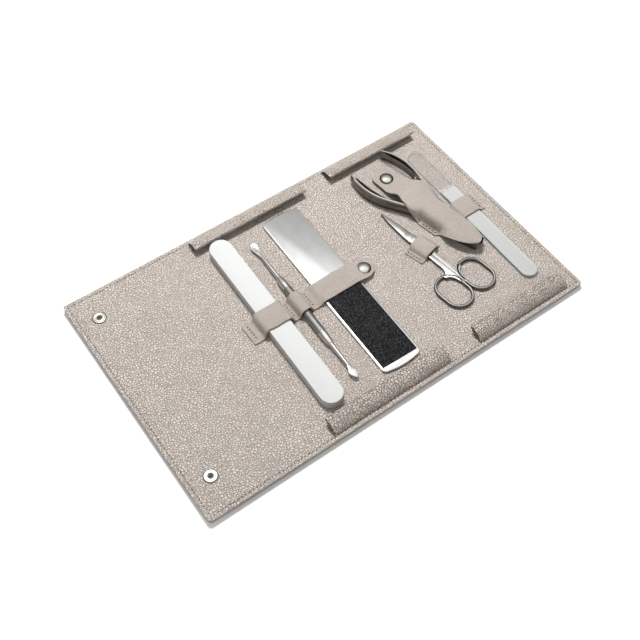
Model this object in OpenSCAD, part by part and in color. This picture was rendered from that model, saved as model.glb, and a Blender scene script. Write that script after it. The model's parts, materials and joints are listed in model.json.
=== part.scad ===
// Manicure set case: a three-panel leather case lying open, with its tools in their loops.
// Millimetres, +Z up. The case lies on z = 0 and is centred on the origin.

/* [Case] */
// Length of the open case along X
case_l = 310; // [280:1:340]
// Room between the longest tool and the side flaps, at each end
end_room = 3; // [2:0.5:8]
// Outer corner radius
corner_r = 4.5; // [2:0.5:8]
// Outer leather thickness
outer_t = 1.1; // [0.8:0.1:1.6]
// Stiffener board thickness
board_t = 0.9; // [0.5:0.1:1.5]
// Lining leather thickness
lining_t = 1.0; // [0.7:0.1:1.4]
// Board edge distance from the sewn edge
board_inset = 6; // [4:0.5:12]
// Board corner radius
board_r = 2; // [1:0.5:4]
// Height inside the fold between middle and right panel
fold_h = 19.5; // [19:0.5:30]
// Play between the closing panel and the panel below it
fold_play = 0.9; // [0.7:0.1:2]
// Middle panel width along X
mid_w = 107; // [107:0.5:125]
// Right panel width along X
right_w = 92.5; // [90:0.5:100]
// Gap between neighbouring leather pieces at a fold
fold_gap = 0.3; // [0.2:0.1:0.6]

/* [Side flaps] */
// Distance of the flap hinge line from the case edge
seam_in = 3.4; // [2.5:0.1:5]
// Distance of a closed flap's free edge from the case edge
flap_reach = 15.5; // [12:0.5:18]
// Height of a flap's rolled free edge above the lining
flap_rise = 6.2; // [5:0.1:8]
// Half thickness of the rolled flap
flap_sag = 2.7; // [2:0.1:4]
// Flap leather thickness
flap_t = 1.1; // [0.8:0.1:1.6]
// Radius of the flap's folded free edge
flap_edge_r = 1.3; // [1:0.1:2]
// Middle flaps start this far inside the middle panel
mid_flap_in = 9; // [6:0.5:14]
// The middle bottom flap lies this much further left than the top one
mid_flap_shift = 3; // [0:0.5:5]
// Middle flap length along X
mid_flap_l = 96; // [80:1:100]
// Right flaps start this far inside the right panel
right_flap_in = 1; // [0.5:0.5:6]
// Right flap length along X
right_flap_l = 79.5; // [70:0.5:88]

/* [Straps] */
// Strap leather thickness
strap_t = 1.2; // [0.8:0.1:1.8]
// Width of the middle strap
strap_w = 17.5; // [14:0.5:20]
// Middle strap's lower edge, below the case's middle line
strap_low = 7; // [3:0.5:12]
// Middle strap starts this far inside the middle panel
strap_in = 1.4; // [0.5:0.1:4]
// Clearance between a loop and the tool in it
loop_play = 0.35; // [0.3:0.05:1]
// Gap between the fixed strap and its tongue
tongue_gap = 0.4; // [0.3:0.1:1]
// Corner radius of the strap tongue
tongue_r = 7; // [4:0.5:8.5]
// Strap snap's distance from the tongue's free end
snap_in = 7.6; // [6.5:0.1:10]

/* [Snaps] */
// Strap snap cap radius
cap_r = 5.3; // [4.5:0.1:6]
// Height of a cap's dome
cap_h = 1.7; // [1.2:0.1:2.5]
// Radius of a snap's socket ring
socket_r = 4.5; // [3.8:0.1:5]
// Height of a socket ring
socket_h = 1.3; // [1:0.1:1.6]
// Radius of a snap's stud
stud_r = 1.5; // [1.2:0.1:2]
// Radial clearance of a stud in its socket
snap_play = 0.35; // [0.3:0.05:0.6]
// Radius of a closing snap's face
closer_r = 4.8; // [4:0.1:5.5]
// Closing snaps' distance from the left edge
closer_x = 17; // [12:0.5:24]
// Lower closing snap's distance from the lower edge
closer_y = 26; // [18:0.5:34]
// Upper closing snap's distance from the upper edge
closer_y_top = 23; // [18:0.5:34]

/* [Nail file block] */
// Length
block_l = 157; // [140:0.5:158]
// Width
block_w = 16.6; // [14:0.1:18]
// Foam core thickness
block_core_t = 5.6; // [4:0.1:6]
// Abrasive face thickness
block_face_t = 0.7; // [0.4:0.1:1]
// Centre, from the middle panel's left edge
block_x = 22; // [20:0.5:24]
// Centre, above the case's middle line
block_up = 1.5; // [0:0.1:2]
// Lean about Z
block_lean = -1.6; // [-3:0.1:3]

/* [Pusher] */
// Overall length
pusher_l = 134; // [125:0.5:140]
// Grip length
pusher_grip_l = 59; // [50:0.5:64]
// Grip radius
pusher_r = 3.0; // [2.5:0.1:3.4]
// Shaft radius at the grip
pusher_shaft_r = 1.6; // [1.2:0.1:2]
// Radius of a tip's neck
pusher_neck_r = 1.1; // [0.8:0.1:1.4]
// Length of the spoon
spoon_l = 13; // [10:0.5:15]
// Radius of the spoon's face
spoon_r = 2.8; // [2:0.1:3.2]
// Width of the blade
blade_tip_w = 5.8; // [4:0.1:7]
// Centre, from the middle panel's left edge
pusher_x = 44; // [43:0.5:45]
// Centre, above the case's middle line
pusher_up = -1.2; // [-3:0.2:1]
// Lean about Z
pusher_lean = -1.65; // [-3:0.05:3]

/* [Foot file] */
// Length
foot_l = 155; // [140:0.5:157]
// Width
foot_w = 31; // [26:0.5:31.5]
// Plate thickness
foot_t = 2.2; // [1.5:0.1:2.6]
// Abrasive pad thickness
pad_t = 0.8; // [0.4:0.1:1.2]
// Pad length
pad_l = 83; // [70:0.5:90]
// Pad width
pad_w = 28; // [22:0.5:29]
// Distance of the pad from the plate's lower end
pad_in = 5; // [4:0.5:12]
// Plate corner radius
foot_r = 5; // [3:0.5:7]
// Centre, from the middle panel's left edge
foot_x = 75.7; // [74.5:0.1:77]
// Centre, above the case's middle line
foot_up = 0; // [-1:0.1:1]
// Lean about Z
foot_lean = -1.1; // [-2:0.1:2]

/* [Scissors] */
// Pivot, from the right panel's left edge
scissors_x = 17.3; // [16:0.1:18]
// Pivot, above the case's middle line
scissors_up = 0.9; // [-1:0.1:2]
// Lean about Z
scissors_lean = 7.5; // [6:0.1:9]
// Distance from pivot to tip
scissors_tip = 33.5; // [28:0.5:35]
// Distance from pivot to the rings' centres
scissors_ring_d = 50.7; // [47:0.1:53]
// Radius of a ring's centre line at its rounded ends
ring_r = 10.1; // [9:0.1:10.6]
// Length of a ring's straight sides
ring_side = 8; // [5:0.5:10]
// Radius of the ring's wire
ring_wire_r = 1.2; // [1:0.05:1.4]
// Thickness of one blade
blade_t = 1.3; // [1:0.05:1.5]
// Gap between the blades
blade_gap = 0.1; // [0.05:0.05:0.2]
// Width of one shank
shank_w = 3.4; // [2.6:0.1:3.6]
// Radius of the pivot screw
pivot_r = 1.4; // [1:0.1:1.8]
// Running clearance of a pivot
pivot_play = 0.05; // [0.02:0.01:0.1]
// Lean of the scissors' loop
loop_lean = 15; // [12:0.5:17]
// Loop width along the scissors
loop_w = 15.5; // [12:0.5:16]
// Half width inside the scissors' loop
loop_half = 6.3; // [6.3:0.1:7]

/* [Nippers] */
// Pivot, from the right panel's left edge
nipper_x = 45.8; // [45:0.1:46.5]
// Pivot, above the case's middle line
nipper_up = 4.7; // [3:0.1:6]
// Lean about Z
nipper_lean = 12; // [11:0.1:13]
// Distance from pivot to jaw tips
jaw_l = 36; // [30:0.5:38]
// Half width of the jaws
jaw_half = 7.8; // [6:0.1:8]
// Half opening at the jaw tips
jaw_open = 3.4; // [2:0.1:4]
// Radius of the joint disc
joint_r = 7.0; // [6:0.1:7.4]
// Handle bar thickness
handle_t = 2.8; // [2:0.1:3.2]
// Handle breadth, upward
handle_b = 9.5; // [7:0.1:9.8]
// Breadth of the joint, upward
joint_b = 8.8; // [7:0.1:9.2]
// Breadth of the jaws, upward
jaw_b = 7.6; // [5:0.1:8]
// Half spread of the handles at their widest
handle_spread = 20.9; // [18:0.1:21.5]
// Distance from pivot to the widest place
handle_wide = 54; // [50:0.5:56]
// Radius of the handles' bow
handle_bow = 44; // [38:0.5:50]
// Distance from pivot to the handles' ends
handle_end = 73; // [68:0.5:74]
// Angle of the handles' straight part
handle_angle = 22; // [20:0.5:24]
// Leaf spring thickness
leaf_t = 0.6; // [0.4:0.1:0.8]
// Leaf spring breadth, upward
leaf_b = 3.6; // [2.5:0.1:4]
// Distance from pivot to the leaf springs' screws
leaf_root = 36; // [32:0.5:40]

/* [Holster] */
// Length of the holster's sewn tab
tab_l = 15; // [12:0.5:17]
// Reach of the holster's sewn tab beside it
holster_tail = 5.6; // [4:0.1:7]
// Half width inside the holster
holster_half = 8.3; // [8.1:0.1:9]
// Holster tongue's hinge, from the nippers' pivot
tongue_hinge = 27; // [25:0.5:29]
// Length of the holster tongue
holster_tongue_l = 37; // [34:0.5:39]
// Width of the holster tongue
holster_tongue_w = 18; // [16:0.5:19]
// Corner radius of the holster tongue
holster_tongue_r = 6.5; // [4:0.5:8]
// Sideways offset of the holster tongue
tongue_side = 2; // [1:0.1:3]

/* [Glass file] */
// Length
glass_l = 142; // [130:0.5:150]
// Width
glass_w = 13; // [11:0.5:14]
// Thickness
glass_t = 2.6; // [2:0.1:3.2]
// Centre, from the right panel's left edge
glass_x = 68.2; // [67.5:0.1:69]
// Centre, above the case's middle line
glass_up = -2; // [-5:0.5:1]
// Lean about Z
glass_lean = -0.3; // [-1:0.1:1]
// Lower edge of the glass file's loop, below the case's middle line
glass_loop_low = 5; // [1:0.5:9]
// Length of the loop's sewn tail
glass_tail = 4.8; // [3.5:0.1:6]
// Width of the glass file's loop
glass_loop_w = 16.5; // [13:0.5:18]

/* [Hidden] */
$fn = 48;
eps = 0.01;
panel_t = outer_t + board_t + lining_t;
// the case is as wide as its longest tool needs between the side flaps
case_w = max(block_l, foot_l, glass_l) + 2 * (flap_reach + end_room);
mid_y = case_w / 2;
strap_y = mid_y - strap_low;
block_y = mid_y + block_up;
pusher_y = mid_y + pusher_up;
foot_y = mid_y + foot_up;
scissors_y = mid_y + scissors_up;
nipper_y = mid_y + nipper_up;
glass_y = mid_y + glass_up;
glass_loop_y = mid_y - glass_loop_low;
// cutting tools reach this far past what they cut
past = case_l;
spine_b = fold_h;
spine_a = fold_h + panel_t + fold_play;
left_w = case_l - right_w - spine_b - mid_w - spine_a;
mid_x = left_w + spine_a;
fold_x = mid_x + mid_w;
right_x = fold_x + spine_b;
board_z = outer_t;
lining_z = outer_t + board_t;
top_z = panel_t;
// tool levels
rest_gap = 0.3;
block_z = top_z;
block_t = block_core_t + 2 * block_face_t;
pusher_z = top_z + pusher_r + 0.1;
foot_z = top_z;
// mirrored place of the closing snaps on the right panel
closer_out = left_w - closer_x;
stud_x = right_x + mid_w - closer_out;

leather = [0.73, 0.68, 0.63];
leather_dark = [0.66, 0.60, 0.55];
steel = [0.78, 0.78, 0.77];
white = [0.93, 0.93, 0.92];
black = [0.1, 0.1, 0.1];
card = [0.55, 0.5, 0.42];
glass = [0.8, 0.84, 0.84];

// the case's own coordinates start at its lower left corner
module place() {
  translate([-case_l / 2, -case_w / 2, 0]) children();
}

// ---------- panels ----------

// a rectangle with its left or right corners rounded
module sheet_2d(x0, x1, y0, y1, rl, rr) {
  translate([x0 + rl, y0]) square([x1 - x0 - rl - rr, y1 - y0]);
  if (rl > 0) {
    translate([x0, y0 + rl]) square([rl + eps, y1 - y0 - 2 * rl]);
    for (y = [y0 + rl, y1 - rl]) translate([x0 + rl, y]) circle(rl);
  }
  if (rr > 0) {
    translate([x1 - rr - eps, y0 + rr]) square([rr + eps, y1 - y0 - 2 * rr]);
    for (y = [y0 + rr, y1 - rr]) translate([x1 - rr, y]) circle(rr);
  }
}

module layer(x0, x1, z0, t, rl, rr) {
  translate([0, 0, z0]) linear_extrude(t) sheet_2d(x0, x1, 0, case_w, rl, rr);
}

module board_2d(x0, x1) {
  sheet_2d(x0 + board_inset, x1 - board_inset, board_inset, case_w - board_inset, board_r, board_r);
}

// the outer leather of a panel is a tray that the board lies in
module outer_panel(x0, x1, rl, rr) {
  difference() {
    layer(x0, x1, 0, outer_t + board_t, rl, rr);
    translate([0, 0, board_z]) linear_extrude(board_t + 1) board_2d(x0, x1);
  }
}

module board(x0, x1) {
  translate([0, 0, board_z]) linear_extrude(board_t) board_2d(x0, x1);
}

half_gap = fold_gap / 2;

module at_closers() {
  for (y = [closer_y, case_w - closer_y_top]) translate([closer_x, y, 0]) children();
}

module at_studs() {
  for (y = [closer_y, case_w - closer_y_top]) translate([stud_x, y, 0]) children();
}

cap_pocket_r = closer_r + snap_play;

module left_panel_outer_leather() {
  color(leather) place() difference() {
    outer_panel(0, left_w - half_gap, corner_r, 0);
    at_closers() translate([0, 0, -1]) cylinder(r = cap_pocket_r, h = outer_t + 1);
  }
}

module left_panel_board() {
  color(card) place() board(0, left_w - half_gap);
}

module left_panel_lining() {
  color(leather) place() layer(0, left_w - half_gap, lining_z, lining_t, corner_r, 0);
}

module left_spine_outer_leather() {
  color(leather) place() layer(left_w + half_gap, mid_x - half_gap, 0, lining_z, 0, 0);
}

module left_spine_lining() {
  color(leather) place() layer(left_w + half_gap, mid_x - half_gap, lining_z, lining_t, 0, 0);
}

module middle_panel_outer_leather() {
  color(leather) place() outer_panel(mid_x + half_gap, fold_x - half_gap, 0, 0);
}

module middle_panel_board() {
  color(card) place() board(mid_x + half_gap, fold_x - half_gap);
}

module middle_panel_lining() {
  color(leather) place() layer(mid_x + half_gap, fold_x - half_gap, lining_z, lining_t, 0, 0);
}

module right_spine_outer_leather() {
  color(leather) place() layer(fold_x + half_gap, right_x - half_gap, 0, lining_z, 0, 0);
}

module right_spine_lining() {
  color(leather) place() layer(fold_x + half_gap, right_x - half_gap, lining_z, lining_t, 0, 0);
}

module right_panel_outer_leather() {
  color(leather) place() difference() {
    outer_panel(right_x + half_gap, case_l, 0, corner_r);
    at_studs() translate([0, 0, -1]) cylinder(r = cap_pocket_r, h = outer_t + 1);
  }
}

module right_panel_board() {
  color(card) place() board(right_x + half_gap, case_l);
}

module right_panel_lining() {
  color(leather) place() layer(right_x + half_gap, case_l, lining_z, lining_t, 0, corner_r);
}

// ---------- side flaps ----------

// the rolled flap's section: an eye-shaped tube rising from the seam to the folded free edge
root_r = 0.6;
eye_a = [seam_in + 0.85, top_z + root_r + 0.35];
eye_b = [flap_reach - flap_edge_r, top_z + flap_rise];
eye_c = norm(eye_b - eye_a);
eye_tilt = atan2(eye_b[1] - eye_a[1], eye_b[0] - eye_a[0]);
eye_R = (eye_c * eye_c / 4 + flap_sag * flap_sag) / (2 * flap_sag);

module eye_2d(shrink) {
  intersection() {
    translate([0, flap_sag - eye_R]) circle(eye_R - shrink, $fn = 96);
    translate([0, eye_R - flap_sag]) circle(eye_R - shrink, $fn = 96);
  }
}

module flap_2d() {
  difference() {
    union() {
      translate((eye_a + eye_b) / 2) rotate(eye_tilt) eye_2d(0);
      translate(eye_b) circle(flap_edge_r);
      translate(eye_a) circle(root_r);
    }
    translate((eye_a + eye_b) / 2) rotate(eye_tilt) eye_2d(flap_t);
  }
}

module flap(x0, l) {
  translate([x0, 0, 0]) rotate([90, 0, 90]) linear_extrude(l) flap_2d();
}

module top_edge() {
  translate([0, case_w, 0]) mirror([0, 1, 0]) children();
}

module middle_top_flap() {
  color(leather_dark) place() top_edge() flap(mid_x + mid_flap_in, mid_flap_l);
}

module middle_bottom_flap() {
  color(leather_dark) place() flap(mid_x + mid_flap_in - mid_flap_shift, mid_flap_l);
}

module right_top_flap() {
  color(leather_dark) place() top_edge() flap(right_x + right_flap_in, right_flap_l);
}

module right_bottom_flap() {
  color(leather_dark) place() flap(right_x + right_flap_in, right_flap_l);
}

// ---------- middle strap ----------

strap_x0 = mid_x + strap_in;
block_cx = mid_x + block_x;
pusher_cx = mid_x + pusher_x;
foot_cx = mid_x + foot_x;
strap_cy = strap_y + strap_w / 2;
// a leaning tool is this much wider across the strap
block_slip = abs(sin(block_lean)) * (strap_w / 2 + abs(strap_cy - block_y));
pusher_slip = abs(sin(pusher_lean)) * (strap_w / 2 + abs(strap_cy - pusher_y));
foot_slip = abs(sin(foot_lean)) * (strap_w / 2 + abs(strap_cy - foot_y));
arch_in = block_w / 2 + block_slip + loop_play;
arch_foot = 2.6;
pusher_in = pusher_r + pusher_slip + loop_play;
tongue_x = pusher_cx + pusher_in + strap_t + 6;
tongue_end = fold_x - 0.6;
tongue_z = foot_z + foot_t + pad_t + loop_play;
snap_x = tongue_end - snap_in;
snap_y = strap_cy - 0.9;
// the tongue's level at its snap: stud flange, socket ring, leather
snap_floor = top_z + 0.5;
snap_z = snap_floor + 0.3 + socket_h;

// a section in X and Z, drawn out along Y
module along_y(y0, w) {
  translate([0, y0 + w, 0]) rotate([90, 0, 0]) linear_extrude(w) children();
}

// a loop over a block, in X and Z, with flat tails sewn to the lining: tails are the ends' x
module run_2d(x0, x1, half, h, foot, t) {
  difference() {
    polygon([[x0, 0], [x0, t], [-half - foot - t, t], [-half - t, h + t], [half + t, h + t], [half + foot + t, t], [x1, t], [x1, 0]]);
    hollow_2d(half, h, foot);
  }
}

module hollow_2d(half, h, foot) {
  polygon([[-half - foot, -1], [-half - foot, 0], [-half, h], [half, h], [half + foot, 0], [half + foot, -1]]);
}

module file_strap() {
  outer_half = arch_in + strap_t;
  top = block_t + loop_play + strap_t;
  hump = pusher_in + strap_t;
  hump_x = pusher_cx - block_cx;
  hump_z = pusher_z - top_z;
  x0 = strap_x0 - block_cx;
  x1 = tongue_x - tongue_gap - block_cx;
  color(leather) place() translate([block_cx, 0, top_z]) difference() {
    union() {
      along_y(strap_y, strap_w) polygon([
        [x0, 0], [x0, strap_t], [-outer_half - arch_foot, strap_t], [-outer_half, top], [outer_half, top],
        [outer_half + arch_foot, strap_t], [x1, strap_t], [x1, 0]
      ]);
      along_y(strap_y, strap_w) translate([hump_x - hump, 0]) square([2 * hump, hump_z]);
      along_y(strap_y, strap_w) translate([hump_x, hump_z]) circle(hump);
    }
    along_y(strap_y - 1, strap_w + 2) hollow_2d(arch_in, block_t + loop_play, arch_foot);
    along_y(strap_y - 1, strap_w + 2) translate([hump_x, hump_z]) circle(pusher_in);
    along_y(strap_y - 1, strap_w + 2) translate([hump_x - pusher_in, -hump]) square([2 * pusher_in, hump_z + hump]);
    translate([-past, 0, -past]) cube([2 * past, case_w, past]);
  }
}

foot_in = foot_w / 2 + foot_slip + loop_play;
tongue_ramp = 2.6;
tongue_drop = 1.2;

module tongue_2d() {
  x1 = foot_cx - foot_in;
  x2 = foot_cx + foot_in;
  z0 = top_z + 0.05;
  polygon([
    [tongue_x, z0], [x1 - tongue_ramp, z0], [x1, tongue_z], [x2, tongue_z],
    [x2 + tongue_drop, snap_z], [tongue_end, snap_z],
    [tongue_end, snap_z + strap_t], [x2 + tongue_drop, snap_z + strap_t],
    [x2 + 0.3, tongue_z + strap_t], [x1 - 0.6, tongue_z + strap_t],
    [x1 - tongue_ramp - 0.6, z0 + strap_t], [tongue_x, z0 + strap_t]
  ]);
}

module file_strap_tongue() {
  color(leather) place() difference() {
    intersection() {
      along_y(strap_y - 2, strap_w + 2) tongue_2d();
      linear_extrude(past) sheet_2d(tongue_x, tongue_end, strap_y - 1, strap_y + strap_w - 1, 0, tongue_r);
    }
    translate([snap_x, snap_y, 0]) cylinder(r = 1.2, h = past);
  }
}

// ---------- snaps ----------

// a snap standing on a lining: z0 is the lining's face
module snap_stud(z0) {
  translate([0, 0, z0]) cylinder(r = socket_r - 0.3, h = 0.5);
  translate([0, 0, z0]) cylinder(r = stud_r, h = 0.5 + socket_h);
}

module snap_socket(z0) {
  difference() {
    translate([0, 0, z0]) cylinder(r = socket_r, h = socket_h);
    translate([0, 0, z0 - 1]) cylinder(r = stud_r + snap_play, h = socket_h + 0.75);
    translate([0, 0, z0 - 1]) cylinder(r = 0.9, h = socket_h + 3);
  }
}

// a domed cap over the leather, its post through the leather
module snap_cap(z0) {
  dome_R = (cap_r * cap_r + cap_h * cap_h) / (2 * cap_h);
  intersection() {
    translate([0, 0, z0 + cap_h - dome_R]) sphere(dome_R, $fn = 96);
    translate([0, 0, z0]) cylinder(r = cap_r, h = cap_h + 1);
  }
  translate([0, 0, z0 - strap_t]) cylinder(r = 1.2, h = strap_t + 0.2);
}

module strap_snap_cap() {
  color(steel) place() translate([snap_x, snap_y, 0]) snap_cap(snap_z + strap_t);
}

module strap_snap_socket() {
  color(steel) place() translate([snap_x, snap_y, 0]) snap_socket(snap_z - socket_h);
}

module strap_snap_stud() {
  color(steel) place() translate([snap_x, snap_y, 0]) snap_stud(top_z);
}

module closing_snap_caps() {
  color(steel) place() at_closers() cylinder(r = closer_r, h = outer_t);
}

// the closing snaps' sockets show on the left panel's lining
module closing_snap_sockets() {
  color(steel) place() at_closers() translate([0, 0, top_z]) difference() {
    union() {
      cylinder(r = closer_r, h = 0.8);
      difference() {
        cylinder(r = closer_r - 0.9, h = 1.25);
        translate([0, 0, 0.6]) cylinder(r = closer_r - 1.9, h = 2);
      }
      cylinder(r = stud_r + snap_play + 0.7, h = 1.25);
    }
    translate([0, 0, 0.25]) cylinder(r = stud_r + snap_play, h = 3);
  }
}

// the closing snaps' studs sit in pockets of the right panel's outer leather
module closing_snap_studs() {
  color(steel) place() at_studs() {
    translate([0, 0, outer_t - 0.45]) cylinder(r = closer_r, h = 0.45);
    translate([0, 0, 0.05]) cylinder(r = stud_r, h = outer_t - 0.05);
  }
}

// ---------- nail file block ----------

module bar_2d(l, w) {
  r = w / 2;
  translate([-r, -l / 2 + r]) square([w, l - w]);
  for (s = [-1, 1]) translate([0, s * (l / 2 - r)]) circle(r, $fn = 96);
}

module at_block() {
  place() translate([block_cx, block_y, block_z]) rotate([0, 0, block_lean]) children();
}

module nail_file_core() {
  color(white) at_block() translate([0, 0, block_face_t]) linear_extrude(block_core_t) bar_2d(block_l, block_w);
}

module nail_file_top_abrasive() {
  color(white) at_block() translate([0, 0, block_face_t + block_core_t]) linear_extrude(block_face_t) bar_2d(block_l, block_w);
}

module nail_file_bottom_abrasive() {
  color(white) at_block() linear_extrude(block_face_t) bar_2d(block_l, block_w);
}

// ---------- pusher ----------

module at_pusher() {
  place() translate([pusher_cx, pusher_y, pusher_z]) rotate([0, 0, pusher_lean]) children();
}

module rod(y0, y1, r0, r1) {
  translate([0, y0, 0]) rotate([-90, 0, 0]) cylinder(r1 = r0, r2 = r1, h = y1 - y0);
}

half_grip = pusher_grip_l / 2;
half_pusher = pusher_l / 2;
tenon_l = 6;
grip_off = 1.2;

module pusher_grip() {
  color(steel) at_pusher() difference() {
    union() {
      rod(grip_off - half_grip + 7.5, grip_off + half_grip - 7.5, pusher_r, pusher_r);
      rod(grip_off + half_grip - 7.5, grip_off + half_grip, pusher_r, pusher_r - 0.5);
      rod(grip_off - half_grip, grip_off - half_grip + 7.5, pusher_r - 0.5, pusher_r);
    }
    rod(grip_off + half_grip - tenon_l, grip_off + half_grip + 1, pusher_shaft_r, pusher_shaft_r);
    rod(grip_off - half_grip - 1, grip_off - half_grip + tenon_l, pusher_shaft_r, pusher_shaft_r);
  }
}

module pusher_spoon_end() {
  color(steel) at_pusher() {
    rod(grip_off + half_grip - tenon_l, grip_off + half_grip, pusher_shaft_r, pusher_shaft_r);
    rod(grip_off + half_grip, half_pusher - spoon_l, pusher_shaft_r, pusher_neck_r);
    spoon_y = half_pusher - spoon_r;
    intersection() {
      difference() {
        union() {
          rod(half_pusher - spoon_l - 1, spoon_y, pusher_neck_r, spoon_r);
          translate([0, spoon_y, 0]) sphere(spoon_r);
        }
        translate([0, spoon_y - 2, spoon_r + 2.2]) sphere(4.2);
      }
      translate([-spoon_r, 0, -pusher_neck_r]) cube([2 * spoon_r, half_pusher + 1, pusher_neck_r + 1]);
    }
  }
}

module pusher_blade_end() {
  color(steel) at_pusher() {
    rod(grip_off - half_grip, grip_off - half_grip + tenon_l, pusher_shaft_r, pusher_shaft_r);
    rod(-half_pusher + 11, grip_off - half_grip, pusher_neck_r, pusher_shaft_r);
    hw = blade_tip_w / 2;
    translate([0, -half_pusher, -0.6]) linear_extrude(1.2)
      polygon([[0, 0], [-hw * 0.9, 2.6], [-hw, 6.5], [-pusher_neck_r, 12], [pusher_neck_r, 12], [hw, 6.5], [hw * 0.9, 3.6]]);
  }
}

// ---------- foot file ----------

module at_foot() {
  place() translate([foot_cx, foot_y, foot_z]) rotate([0, 0, foot_lean]) children();
}

module foot_2d() {
  end_R = 60;
  side = foot_w / 2 - foot_r;
  drop = foot_l / 2 - foot_r - 1.6;
  for (s = [0, 1]) mirror([0, s]) intersection() {
    translate([-foot_w / 2, -eps]) square([foot_w, foot_l / 2 + eps]);
    translate([0, foot_l / 2 - end_R]) circle(end_R, $fn = 180);
    union() {
      translate([-side, -eps]) square([2 * side, foot_l]);
      translate([-foot_w / 2, -eps]) square([foot_w, drop + eps]);
      for (x = [-side, side]) translate([x, drop]) circle(foot_r);
    }
  }
}

module foot_file_plate() {
  color(steel) at_foot() linear_extrude(foot_t) foot_2d();
}

module foot_file_abrasive_pad() {
  color(black) at_foot() translate([0, -foot_l / 2 + pad_in + pad_l / 2, foot_t]) linear_extrude(pad_t)
    square([pad_w, pad_l], center = true);
}

// ---------- scissors ----------

scissors_cx = right_x + scissors_x;
scissors_z = top_z + 0.3;
blade_low = scissors_z;
blade_high = scissors_z + blade_t + blade_gap;
scissors_h = 2 * blade_t + blade_gap;
ring_v = ring_r + ring_wire_r + blade_gap;

module at_scissors() {
  place() translate([scissors_cx, scissors_y, 0]) rotate([0, 0, scissors_lean]) children();
}

// a finger ring of round wire: two half rounds and two straight sides
module finger_ring() {
  for (s = [0, 180]) rotate([0, 0, s]) translate([0, ring_side / 2, 0])
    rotate_extrude(angle = 180) translate([ring_r, 0]) circle(ring_wire_r);
  for (s = [-1, 1]) translate([s * ring_r, -ring_side / 2, 0]) rotate([-90, 0, 0]) cylinder(r = ring_wire_r, h = ring_side);
}

// plan of one half, ring to the right: shank, joint disc and blade
module shank_2d() {
  y1 = -scissors_ring_d + ring_side / 2 + ring_r * 0.72;
  polygon([
    [blade_gap, -4], [shank_w + 0.6, -4], [shank_w, -14], [shank_w, -30], [shank_w + 2.6, y1 + 2],
    [ring_v - ring_r * 0.5, y1 + 1.4], [ring_v - ring_r * 0.72, y1 - 1.2], [blade_gap + 2.2, y1 - 8], [blade_gap, y1 - 10]
  ]);
}

module joint_2d(s) {
  mirror([s < 0 ? 1 : 0, 0]) polygon([[blade_gap, -10], [shank_w + 0.4, -10], [shank_w + 0.6, -4], [2.6, 5], [-3.6, 6.4], [-3.8, 0], [-1.5, -4]]);
}

// the blade leans over to the other side of the axis
module blade_2d(s) {
  t = scissors_tip;
  mirror([s < 0 ? 1 : 0, 0]) polygon([[2.6, 4.9], [2.4, 0.35 * t], [1.6, 0.7 * t], [0, t], [-1.9, 0.72 * t], [-3.1, 0.4 * t], [-3.6, 6.3], [-2, 3]]);
}

module scissors_half(s, z) {
  difference() {
    union() {
      translate([0, 0, z]) linear_extrude(blade_t) {
        joint_2d(s);
        blade_2d(s);
      }
      translate([0, 0, scissors_z]) linear_extrude(scissors_h) mirror([s < 0 ? 1 : 0, 0]) difference() {
        shank_2d();
        translate([-10, -10]) square([20, 20]);
      }
      translate([0, 0, z]) linear_extrude(blade_t) mirror([s < 0 ? 1 : 0, 0]) shank_2d();
      translate([s * ring_v, -scissors_ring_d, scissors_z + scissors_h / 2]) finger_ring();
    }
  }
}

module scissors_lower_blade() {
  color(steel) at_scissors() difference() {
    scissors_half(-1, blade_low);
    translate([0, 0, 0]) cylinder(r = pivot_r, h = 20);
  }
}

module scissors_upper_blade() {
  color(steel) at_scissors() difference() {
    scissors_half(1, blade_high);
    translate([0, 0, 0]) cylinder(r = pivot_r + pivot_play, h = 20);
  }
}

module scissors_pivot_screw() {
  color(steel) at_scissors() {
    translate([0, 0, blade_low]) cylinder(r = pivot_r, h = scissors_h + pivot_play);
    translate([0, 0, blade_low + scissors_h + pivot_play]) cylinder(r = pivot_r + 0.7, h = screw_head);
  }
}

// the loop is drawn across the scissors in its own leaning frame
loop_u = -9.5;
screw_head = 0.5;
loop_top = scissors_h + pivot_play + screw_head + rest_gap + loop_play;

module scissors_loop() {
  edge = loop_half + 0.3;
  color(leather) at_scissors() translate([0.5, loop_u, top_z]) rotate([0, 0, loop_lean - scissors_lean]) along_y(-loop_w / 2, loop_w)
    run_2d(-edge - 5.2, edge + 3, loop_half - 0.5, loop_top, 0.8, strap_t);
}

// ---------- nippers ----------

nipper_cx = right_x + nipper_x;
nipper_z = top_z + rest_gap;
half_joint = joint_b / 2;
joint_gap = 0.1;
arc_v = handle_spread - handle_bow;

module at_nippers() {
  place() translate([nipper_cx, nipper_y, 0]) rotate([0, 0, nipper_lean]) children();
}

// plan of the right handle: a straight bar running into a bowed one
bow_start = [arc_v + handle_bow * cos(handle_angle), handle_wide - handle_bow * sin(handle_angle)];
// the bar starts inside the joint disc
bar_start = 2.6;
bar_l = (bow_start[1] - bar_start) / cos(handle_angle);

module handle_2d() {
  translate(bow_start) rotate(-handle_angle) translate([-handle_t / 2, -bar_l]) square([handle_t, bar_l + eps]);
  intersection() {
    translate([arc_v, handle_wide]) difference() {
      circle(handle_bow + handle_t / 2, $fn = 180);
      circle(handle_bow - handle_t / 2, $fn = 180);
    }
    polygon([[arc_v, handle_wide], bow_start * 2 - [arc_v, handle_wide], [past, bow_start[1]], [past, handle_end], [0, handle_end]]);
  }
}

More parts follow.
